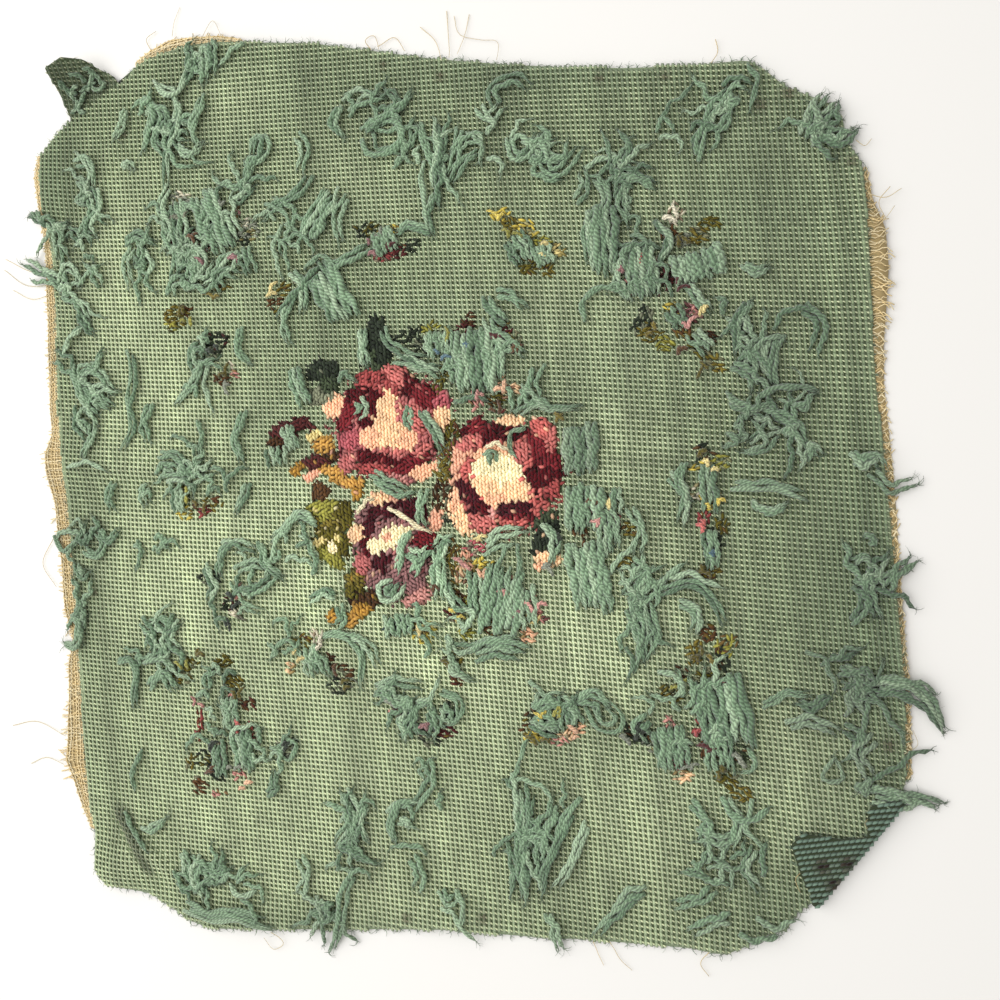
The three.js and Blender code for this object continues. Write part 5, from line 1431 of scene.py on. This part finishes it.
def scattered_stitches(patch, seed):
    """A spray's stitches: strokes scattered over an ellipse, a fifth left out, each turned and dyed apart."""
    rows, columns = (np.arange(-half, half + 0.1, SPRAY_STEP) for half in (patch.wide, patch.long))
    along, across = (axis.ravel() for axis in np.meshgrid(columns, rows))
    stray = chance((4, len(along)), seed)
    along = along + SPRAY_STRAY * (stray[0] - 0.5)
    across = across + SPRAY_STRAY * (stray[1] - 0.5)
    kept = (np.hypot(along / patch.long, across / patch.wide) < SPRAY_REACH) & (stray[2] < SPRAY_SHARE)
    x, y = placed(patch, patch.turn, along[kept], across[kept]).T
    count = len(x)
    seats = cloth_seats(x, y, SPRAY_SEAT + spread(count, seed + 1, 0, 0.5))
    turn = np.radians(patch.turn - 90 + spread(count, seed + 2, -55, 55))
    scale = spread((count, 2), seed + 3, 0.8, 1.3)
    other = linear(WOOLS[SPRAY_MIX[seed % len(SPRAY_MIX)]])
    shade = mix(linear(WOOLS[patch.wool]), other, MIXED_DEPTH * (stray[3][kept] > MIXED_FROM))
    shade = shade * spread(count, seed + 4, 0.62, 1.12)[:, None]
    return pillows(SPRAY_RING, seats, scale, turn, -0.7, 0.5, shade)


class SpraysOperator(bpy.types.Operator):
    """Work the small coloured stitches of the sprays"""

    bl_idname = "needlepoint.sprays"
    bl_label = "Sprays"

    def execute(self, context):
        made = join([scattered_stitches(patch, 500 + 5 * place) for place, patch in enumerate(SPRAYS)])
        make_piece("spray_stitches", *made, "motif_wool", "rose_wool")
        return {"FINISHED"}


# Loose yarn: steps of its paths, how far painted shade darkens its dye and how far it pales by area, and
# thickness as a share of the usual
YARN_STEPS = 12
YARN_SINKING = 0.85
YARN_SHADE_DEPTH = 0.55
PALE_LIFT = 0.5
FLOAT_FULLNESS = 0.62
TANGLE_FULLNESS = 0.9
MATTED_SHARE = 0.8
MATTED_LENGTH = 0.85

# Turns of yarn round a knot: how many, their reach from the knot, length and bend
KNOT_TURNS = 3
KNOT_REACH = 3.2
KNOT_LENGTH = 8.5
KNOT_BEND = 100

# Frayed fibres at the ends of yarns and along the worked edge
WISP_STEPS = 4
WISP_SIDES = 3
WISPS_PER_END = 5
LOWEST_WISP = 0.25
EDGE_STEP = 4.5
EDGE_WISP_REACH = 0.7
PALE_FROM = 0.4

# Yarns on the curled corner with their painted shade, short ends of the motifs' wools, and the cream yarns
# that lie over the rest
CURL_YARN_COUNT = 12
CURL_YARN_REACH = (8, 26)
CURL_YARN_LENGTH = 11
CURL_YARN_FULLNESS = 0.9
CURL_YARN_SEAT = 2.6
CURL_YARN_PAINTED_SHADE = 0.75
ENDS_PER_PLACE = 2
END_BUNCH = {"half_x": 3, "half_y": 3, "count": ENDS_PER_PLACE, "heading": 80, "length": 6}
END_FULLNESS = 0.8
END_STEPS = 6
END_RISE = 0.9
CREAM_FULLNESS = 0.85
CREAM_RISE = 2.2


def yarn_dyes(count, seed):
    """Colour of each yarn: from dark through middling to pale, mostly middling."""
    share = chance(count, seed)
    low = mix(colours().yarn_dark, colours().yarn, np.clip(share * 3, 0, 1))
    return mix(low, colours().yarn_pale, np.clip(share * 2.2 - 1.2, 0, 1))


def wisps(ends, headings, heights, dyes, seed, reach=1.0):
    """Frayed fibres at yarn ends: short fine tapering strands, each leaving its end at its own angle."""
    start, heading, height, shade = (
        np.repeat(values, WISPS_PER_END, axis=0) for values in (ends, headings, heights, dyes)
    )
    count = len(start)
    share = np.linspace(0, 1, WISP_STEPS)
    turn = heading + np.radians(spread(count, seed, -50, 50))
    walk = reach * (1.5 + 4.5 * chance(count, seed + 1) ** 2)[:, None] * share
    way = turn[:, None] + np.radians(spread(count, seed + 2, -75, 75))[:, None] * share
    flat = start[:, None] + walk[..., None] * np.stack([np.cos(way), np.sin(way)], axis=-1)
    sag = np.maximum(LOWEST_WISP, height[:, None] * (1 - 0.3 * share))
    radii = spread(count, seed + 3, 0.11, 0.27)[:, None] * (1 - 0.7 * share)
    return tubes(at_height(flat, sag), radii, WISP_SIDES, shade)


def lay_yarns(paths, radius, seed, arch=0.9, fray=True, waver=1.0):
    """Loose yarns laid on the cloth: flat paths with a small waver, raised to where a yarn rests.

    Each is arched a little between its ends, thins towards its tip and frays there.
    """
    paths = np.asarray(paths)
    count, steps = paths.shape[:2]
    share = np.linspace(0, 1, steps)
    start = 2 * np.pi * chance((2, count, 1), seed)
    sway = 0.7 * np.sin(share * 8 + start[0]) + 0.5 * np.sin(share * 15 + start[1])
    flat = paths + (waver * sway * np.sin(np.pi * share))[..., None] * left_of(paths)
    thick = radius * spread(count, seed + 1, 0.85, 1.15)[:, None]
    radii = thick * (1 - 0.35 * share**6) * (0.75 + 0.25 * np.minimum(1, share * 6))
    rise = arch * spread(count, seed + 2, 0.3, 1.7)[:, None] * np.sin(np.pi * share) ** 0.7
    height = np.maximum(yarn_rest(flat[..., 0], flat[..., 1]), 0) + YARN_SINKING * radii + rise
    x, y = flat[:, steps // 2].T
    # Painted shade darkens the yarn in the teal and shaded areas, towards the right and in the bottom-left
    # furrow; the pale areas lighten it
    kept = YARN_SHADE_DEPTH * spot_share(TEAL_AREAS + SHADED_YARNS, x, y)
    pale = PALE_LIFT * spot_share(PALE_YARNS, x, y)
    dyes = yarn_dyes(count, seed + 3) * (1 - kept + pale)[:, None]
    strands = np.repeat(dyes, STRANDS, axis=0) * spread(count * STRANDS, seed + 6, 0.9, 1.1)[:, None]
    parts = [bundles(at_height(flat, height), radii, strands, seed + 5)]
    if fray:
        last = flat[:, -1] - flat[:, -2]
        parts.append(wisps(flat[:, -1], np.arctan2(last[:, 1], last[:, 0]), height[:, -1], dyes, seed + 4))
    return join(parts)


def yarn_piece(name, made, *nodes):
    """A piece of loose yarn in the plied wool finish."""
    return make_piece(name, *made, "loose_wool", "loose_yarn", *nodes)


def float_paths(patch, seed):
    """Flat paths of yarns carried side by side: straight runs of uneven length, a little out of line."""
    count = patch.ridges
    across = ((np.arange(count) + 0.5) / count - 0.5) * patch.width + spread(count, seed, -0.25, 0.25)
    half = patch.length / 2 * spread(count, seed + 1, 0.8, 1.1)
    shift = patch.length * spread(count, seed + 2, -0.04, 0.04)
    skew = spread(count, seed + 3, -0.045, 0.045)
    along = shift[:, None] + half[:, None] * np.linspace(-1, 1, YARN_STEPS)
    return placed(patch, patch.heading, along, across[:, None] + skew[:, None] * along)


class FloatsOperator(bpy.types.Operator):
    """Carry yarns side by side across the back, patch by patch"""

    bl_idname = "needlepoint.floats"
    bl_label = "Floats"

    def execute(self, context):
        for seed, patch in enumerate(FLOATS):
            radius = FLOAT_FULLNESS * patch.width / patch.ridges
            paths = float_paths(patch, 900 + seed * 7)
            made = lay_yarns(paths, radius, 1100 + seed * 9, arch=0.5, fray=False)
            yarn_piece(f"wool_{patch.name}", made, patch.name)
        paths = [float_paths(patch, 1300 + seed * 7) for seed, patch in enumerate(SMALL_FLOATS)]
        made = lay_yarns(np.concatenate(paths), sizes().yarn_radius, 1500, arch=0.7, fray=False)
        yarn_piece("wool_small_floats", made)
        return {"FINISHED"}


def tail_paths(tail, seed):
    """Flat paths of a bunch: strands fanning from its knot, each turning evenly, and turns round the knot."""
    knot = np.array([tail.x, tail.y])
    paths = []
    for place in range(tail.count):
        fan = place / (tail.count - 1) - 0.5
        leaving = tail.heading + fan * tail.spread + (180 if tail.two_way and place % 2 else 0)
        reach = tail.length * (0.8 + 0.3 * uneven(seed * 31 + place))
        turn = tail.bend * (0.6 + 0.8 * uneven(seed * 47 + place))
        root = knot + KNOT_HOLD * along_heading(leaving)[0]
        paths.append(arc_path(*root, leaving, reach, turn, YARN_STEPS - 1))
    for place in range(KNOT_TURNS):
        way = 360 * uneven(seed * 53 + place)
        root = knot - KNOT_REACH * along_heading(way)[0]
        paths.append(arc_path(*root, way - KNOT_BEND / 2, KNOT_LENGTH, KNOT_BEND, YARN_STEPS - 1))
    return paths


def tangle_paths(tangle, seed, steps):
    """Flat paths of a matted patch: arcs at uneven places in its ellipse, each with its own bend."""
    count = tangle.count
    away = np.sqrt(chance(count, seed))
    round_it = 2 * np.pi * chance(count, seed + 1)
    heading = tangle.heading + spread(count, seed + 2, -55, 55)
    length = tangle.length * spread(count, seed + 3, 0.6, 1.5)
    bend = spread(count, seed + 4, -210, 210)
    x = tangle.x + tangle.half_x * away * np.cos(round_it) - length / 2 * np.cos(np.radians(heading))
    y = tangle.y + tangle.half_y * away * np.sin(round_it) - length / 2 * np.sin(np.radians(heading))
    return [arc_path(*start, steps - 1) for start in zip(x, y, heading, length, bend)]


def beside(paths, seed):
    """Yarns matted against others: most of the paths again, shortened, moved aside and bowed a little."""
    chosen = paths[chance(len(paths), seed) < MATTED_SHARE]
    count, steps = chosen.shape[:2]
    middle = chosen.mean(axis=1, keepdims=True)
    way = np.where(chance(count, seed + 1) < 0.5, -1, 1) * spread(count, seed + 2, 1.8, 3.4)
    bow = spread(count, seed + 3, -1.2, 1.2)[:, None] * np.linspace(-1, 1, steps) ** 2
    return middle + MATTED_LENGTH * (chosen - middle) + (way[:, None] + bow)[..., None] * left_of(chosen)


def edge_ends():
    """Places round the worked edge with their outward headings and heights, then the bent corners' edges."""
    rim = np.concatenate([OUTLINE, OUTLINE[:1]])
    flat = points_at(rim, np.arange(0, travelled(rim)[-1], EDGE_STEP))
    run = np.roll(flat, -1, axis=0) - np.roll(flat, 1, axis=0)
    yield flat, np.arctan2(run[:, 0], -run[:, 1]), lift(flat[:, 0], flat[:, 1]) + SHEET_TOP
    for bend in (CURL, FOLD):
        along = np.arange(bend.rows[0].along, bend.rows[-1].along, EDGE_STEP)
        reach = bend_reach(bend, along)
        edge, before = (
            bend_seats(bend, *bend_point(bend, along, reach - inset).T, 0.2).place for inset in (0, 1)
        )
        run = edge - before
        yield edge[:, :2], np.arctan2(run[:, 1], run[:, 0]), edge[:, 2]


class EdgeOperator(bpy.types.Operator):
    """Fray short wool fibres out of the panel's edge"""

    bl_idname = "needlepoint.edge"
    bl_label = "Frayed Edge"

    def execute(self, context):
        parts = []
        for place, (flat, headings, heights) in enumerate(edge_ends()):
            dyes = yarn_dyes(len(flat), 5000 + 30 * place)
            on_curl = place == 1
            dyes = mix(dyes, colours().canvas_pale, on_curl & (chance(len(flat), 5005) > PALE_FROM))
            parts.append(wisps(flat, headings, heights, dyes, 5010 + 30 * place, EDGE_WISP_REACH))
        yarn_piece("edge_fibres", join(parts))
        return {"FINISHED"}


def curl_yarns(seed):
    """Yarns matted on the curled corner: flat loops near the bend, wrapped round it with the cloth."""
    along = np.linspace(*CURL_YARN_REACH, CURL_YARN_COUNT)
    middle = bend_point(CURL, along, spread(CURL_YARN_COUNT, seed, 1, 12))
    paths = []
    for count, place in enumerate(middle):
        heading, bend = 360 * uneven(seed + count), 260 * uneven(seed + 3 * count) - 60
        paths.append(arc_path(*place, heading, CURL_YARN_LENGTH, bend, YARN_STEPS - 1))
    paths = np.array(paths)
    seats = bend_seats(CURL, *paths.reshape(-1, 2).T, CURL_YARN_SEAT)
    radii = np.full(paths.shape[:2], sizes().yarn_radius * CURL_YARN_FULLNESS)
    # Painted shade darkens the yarns on the curled corner, which turns away from the light
    dyes = yarn_dyes(CURL_YARN_COUNT * STRANDS, seed + 1) * CURL_YARN_PAINTED_SHADE
    return bundles(seats.place.reshape(*paths.shape[:2], 3), radii, dyes, seed)


def coloured_ends(seed):
    """Short ends of the motifs' wools: a few small arcs at each place, each wool a little uneven."""
    paths, hues = [], []
    for wool_name, places in COLOURED_ENDS.items():
        for x, y in np.reshape(places, (-1, 2)):
            seed += 10
            paths += tangle_paths(SimpleNamespace(x=x, y=y, **END_BUNCH), seed, END_STEPS)
            hues += [linear(WOOLS[wool_name])] * ENDS_PER_PLACE
    radius = sizes().yarn_radius * END_FULLNESS
    points, faces, uv, _ = lay_yarns(paths, radius, seed, arch=0.6, fray=False, waver=0.3)
    shade = np.array(hues) * spread(len(hues), seed, 0.75, 1.15)[:, None]
    dyes = np.repeat(shade, STRANDS * END_STEPS * STRAND_SIDES, axis=0)
    return points + (0, 0, END_RISE), faces, uv, dyes


class TailsOperator(bpy.types.Operator):
    """Leave the yarn ends loose on the back: the bunches, then single yarns laid over them"""

    bl_idname = "needlepoint.tails"
    bl_label = "Loose Yarn"

    def execute(self, context):
        radius = sizes().yarn_radius
        for seed, tail in enumerate(TAILS):
            made = lay_yarns(tail_paths(tail, seed), radius, 2000 + seed * 11, waver=2)
            yarn_piece(f"wool_{tail.name}", made, tail.name)
        laid = np.array([smooth_path(knots, YARN_STEPS) for knots in LAID_YARNS])
        yarn_piece("wool_laid_yarns", lay_yarns(laid, radius, 3020))
        yarn_piece("wool_matted_yarns", lay_yarns(beside(laid, 3040), radius, 3060))
        tangled = [tangle_paths(tangle, 3300 + 10 * seed, YARN_STEPS) for seed, tangle in enumerate(TANGLES)]
        made = lay_yarns(np.concatenate(tangled), radius * TANGLE_FULLNESS, 3800, arch=1.4, waver=1.6)
        yarn_piece("wool_tangles", made)
        yarn_piece("wool_coloured_ends", coloured_ends(4400))
        yarn_piece("wool_curl_yarns", curl_yarns(3200))
        cream = [smooth_path(knots, YARN_STEPS) for knots in CREAM_YARNS]
        points, faces, uv, dyes = lay_yarns(cream, radius * CREAM_FULLNESS, 3100, arch=2.2, fray=False)
        points = points + (0, 0, CREAM_RISE)
        ivory = np.broadcast_to(linear(WOOLS["ivory"]), dyes.shape)
        make_piece("wool_cream_yarns", points, faces, uv, ivory, "loose_wool", "rose_wool")
        return {"FINISHED"}


# Bare margins: steps along them, the strip under their threads, and the threads, in millimetres and shares
MARGINS = table(
    "side edge out stray",
    ("left", LEFT_EDGE, (-1, 0), 0.25), ("right", RIGHT_EDGE, (1, 0), 0.7), ("top", TOP_EDGE, (0, 1), 0.5),
)
WEAVE_STEP = 1.4
WEAVE_START = 0.2
STRIP_TUCK = 1.2
STRIP_SHARE = 0.9
STRIP_GAP = 0.05
STRIP_THICKNESS = 0.4
STRIP_SHADE = 0.8
MARGIN_SINKING = 0.5
THREAD_SIDES = 4
THREAD_FULLNESS = 1.3
THREAD_TUCK = 0.8
CROSSING_STEPS = 6
CROSSING_REST = 0.5
LINE_PLACES = (0.08, 0.24, 0.4, 0.56, 0.72, 0.86)
LINE_REST = 0.85
LINE_RISE = 0.3
WOVEN_STRAY = 0.6

# Threads that have pulled loose
PULLED_STEPS = 16
PULLED_FULLNESS = 0.6
PULLED_REST = 0.35
PULLED_SHADE = 0.8


def bare_edge(edge):
    """Points and bare widths at even steps along the stretch of an edge that has bare canvas."""
    corners = np.array([(row.x, row.y, row.bare) for row in edge if row.bare > 0])
    return points_at(corners, np.arange(WEAVE_START, travelled(corners)[-1], WEAVE_STEP))


def canvas_threads(paths, radius, seed):
    """Bare canvas threads as slim round strands, paler or browner one by one."""
    count, steps = paths.shape[:2]
    radii = radius * spread(count, seed, 0.8, 1.2)[:, None] * np.linspace(1, 0.7, steps)
    shade = mix(colours().canvas, colours().canvas_pale, chance(count, seed + 1))
    return tubes(paths, radii, THREAD_SIDES, shade * spread(count, seed + 2, 0.8, 1.05)[:, None])


def margin_strip(places, height, out):
    """The canvas under a margin's threads: a slab from inside the worked edge to most of its width."""
    inner = at_height(places[:, :2] - STRIP_TUCK * out, height + STRIP_GAP)
    outer = at_height(places[:, :2] + STRIP_SHARE * places[:, 2:] * out, MARGIN_SINKING * height + STRIP_GAP)
    under = np.stack([outer, inner], axis=1)
    if out[0] > out[1]:
        under = under[::-1]
    points, faces = slab(under, under + (0, 0, STRIP_THICKNESS))
    dyes = np.broadcast_to(np.asarray(colours().canvas) * STRIP_SHADE, points.shape)
    return points, faces, np.zeros((faces[0].size, 2)), dyes


def crossing_threads(places, height, out, stray, seed):
    """Paths across a margin: each runs out past the strip, drifts aside and curls more towards its end."""
    count = len(places)
    share = np.linspace(0, 1, CROSSING_STEPS)
    reach = places[:, 2] * (0.9 + 0.4 * chance(count, seed) ** 2) + 0.8
    drift = np.where(chance(count, seed + 1) > 0.8, 1.2, stray) * spread(count, seed + 2, -0.5, 0.5)
    curl = stray * 2.6 * np.sin(share * 7 + 6 * chance(count, seed + 4)[:, None]) * share
    walk = share * reach[:, None]
    to_left = drift[:, None] * walk * share + curl
    flat = places[:, None, :2] + (walk - THREAD_TUCK)[..., None] * out
    flat = flat + to_left[..., None] * np.array([-out[1], out[0]])
    rise = height[:, None] * (1 - MARGIN_SINKING * share) + spread(count, seed + 3, 0.45, 0.75)[:, None]
    return at_height(flat, np.maximum(rise, CROSSING_REST))


def woven_threads(places, height, out, stray):
    """Paths along a margin, each at its share of the width: a sine takes them over and under by turns."""
    step = np.arange(len(places))
    lines = []
    for line, place in enumerate(LINE_PLACES):
        wander = place + stray * 0.12 * np.sin(step / 4 + 2 * line)
        weave = LINE_REST + LINE_RISE * np.sin(np.pi * (step + line + 0.5))
        flat = places[:, :2] + wander[:, None] * places[:, 2:] * out
        lines.append(at_height(flat, height * (1 - MARGIN_SINKING * place) + weave))
    return np.array(lines)


def margin_parts(edge, out, stray, seed):
    """A bare margin: a thin strip, threads that fray across it and, where it is tidy, threads along it."""
    places = bare_edge(edge)
    height = lift(places[:, 0], places[:, 1])
    threads = [crossing_threads(places, height, out, stray, seed)]
    if stray < WOVEN_STRAY:
        threads.append(woven_threads(places, height, out, stray))
    radius = sizes().thread_radius * THREAD_FULLNESS
    parts = [canvas_threads(paths, radius, seed + 5) for paths in threads]
    return join([margin_strip(places, height, out), *parts])


class MarginsOperator(bpy.types.Operator):
    """Leave the margins bare and fray them, and lay the threads that have pulled loose"""

    bl_idname = "needlepoint.margins"
    bl_label = "Bare Margins"

    def execute(self, context):
        for seed, row in enumerate(MARGINS):
            made = margin_parts(row.edge, np.array(row.out), row.stray, 4000 + 20 * seed)
            node = f"margin_{row.side}"
            make_piece(f"canvas_{node}", *made, "frayed_canvas", "bare_canvas", node)
        flat = np.array([smooth_path(knots, PULLED_STEPS) for knots in PULLED_THREADS])
        height = np.maximum(yarn_rest(flat[..., 0], flat[..., 1]), 0) + PULLED_REST
        radius = sizes().thread_radius * PULLED_FULLNESS
        points, faces, uv, dyes = canvas_threads(at_height(flat, height), radius, 4100)
        make_piece("pulled_threads", points, faces, uv, dyes * PULLED_SHADE, "frayed_canvas", "bare_canvas")
        return {"FINISHED"}


# Camera and light, in metres and degrees
CAMERA_PLACE = (0.1515, -0.008, 0.4942)
CAMERA_TILT = np.radians(13.15)
CAMERA_LENS = 36
SENSOR_WIDTH = 36
NEAREST_SEEN = 0.01
KEY_PLACE = (-0.85, 0.12, 1.05)
KEY_SIZE = 1.8
KEY_POWER = 22
SKY_COLOUR = (1, 0.99, 0.975, 1)
SKY_STRENGTH = 0.66
FLOOR_HALF = 3
FLOOR_LEVEL = -0.0001
TABLE_GRAIN = 9
TABLE_GLOSS = (0.5, 0.65)


def table_finish():
    """Plain pale table with a trace of unevenness in its gloss."""
    material = empty_material("pale_table")
    tree = material.node_tree
    place = add_node(tree, "ShaderNodeTexCoord").outputs["Object"]
    gloss = ranged(tree, noise(tree, place, TABLE_GRAIN), *TABLE_GLOSS)
    shader = add_node(
        tree, "ShaderNodeBsdfPrincipled",
        {"Base Color": (*colours().floor, 1), "Roughness": gloss, "Specular IOR Level": 0.2},
    )
    add_node(tree, "ShaderNodeOutputMaterial", {"Surface": shader.outputs["BSDF"]})
    return material


class StageOperator(bpy.types.Operator):
    """Set the table, the soft light from the upper left and the camera above the panel"""

    bl_idname = "needlepoint.stage"
    bl_label = "Table, Light and Camera"

    def execute(self, context):
        scene = context.scene
        mesh = bpy.data.meshes.new("table")
        ways = ((-1, -1), (1, -1), (1, 1), (-1, 1))
        corners = [(x * FLOOR_HALF, y * FLOOR_HALF, FLOOR_LEVEL) for x, y in ways]
        mesh.from_pydata(corners, [], [(0, 1, 2, 3)])
        mesh.materials.append(table_finish())
        linked("table", mesh)
        key = linked("key_light", bpy.data.lights.new("key_light", "AREA"))
        key.data.size = KEY_SIZE
        key.data.energy = KEY_POWER
        key.location = KEY_PLACE
        key.rotation_euler = (-key.location).to_track_quat("-Z", "Y").to_euler()
        scene.world = bpy.data.worlds.new("soft_sky")
        scene.world.use_nodes = True
        sky = scene.world.node_tree.nodes["Background"]
        sky.inputs["Color"].default_value = SKY_COLOUR
        sky.inputs["Strength"].default_value = SKY_STRENGTH
        camera = linked("camera", bpy.data.cameras.new("camera"))
        camera.data.lens = CAMERA_LENS
        camera.data.sensor_width = SENSOR_WIDTH
        camera.data.clip_start = NEAREST_SEEN
        camera.location = CAMERA_PLACE
        camera.rotation_euler = (0, CAMERA_TILT, 0)
        scene.camera = camera
        scene.view_settings.view_transform = "Standard"
        return {"FINISHED"}


OPERATORS = (
    SheetOperator, GroundOperator, CornersOperator, MarginsOperator, BouquetOperator, SpraysOperator,
    FloatsOperator, EdgeOperator, TailsOperator, StageOperator,
)


class NeedlepointPanel(bpy.types.Panel):
    """Lists the steps that build the panel, with its sizes and colours"""

    bl_idname = "VIEW3D_PT_needlepoint"
    bl_label = "Needlepoint Panel"
    bl_space_type = "VIEW_3D"
    bl_region_type = "UI"
    bl_category = "Needlepoint"

    def draw(self, context):
        for group in (sizes(), colours()):
            for name in group.bl_rna.properties.keys():
                if name not in ("rna_type", "name"):
                    self.layout.prop(group, name)
        for operator in OPERATORS:
            self.layout.operator(operator.bl_idname)


CLASSES = (PanelSizes, PanelColours, *OPERATORS, NeedlepointPanel)


def register():
    """Adds the classes and the panel's settings."""
    for cls in CLASSES:
        bpy.utils.register_class(cls)
    bpy.types.Scene.panel_sizes = bpy.props.PointerProperty(type=PanelSizes)
    bpy.types.Scene.panel_colours = bpy.props.PointerProperty(type=PanelColours)


def unregister():
    """Removes the settings and the classes."""
    del bpy.types.Scene.panel_colours
    del bpy.types.Scene.panel_sizes
    for cls in reversed(CLASSES):
        bpy.utils.unregister_class(cls)


def main():
    """Builds every piece in order."""
    register()
    for operator in OPERATORS:
        getattr(bpy.ops.needlepoint, operator.bl_idname.split(".")[1])()


if __name__ == "__main__":
    main()
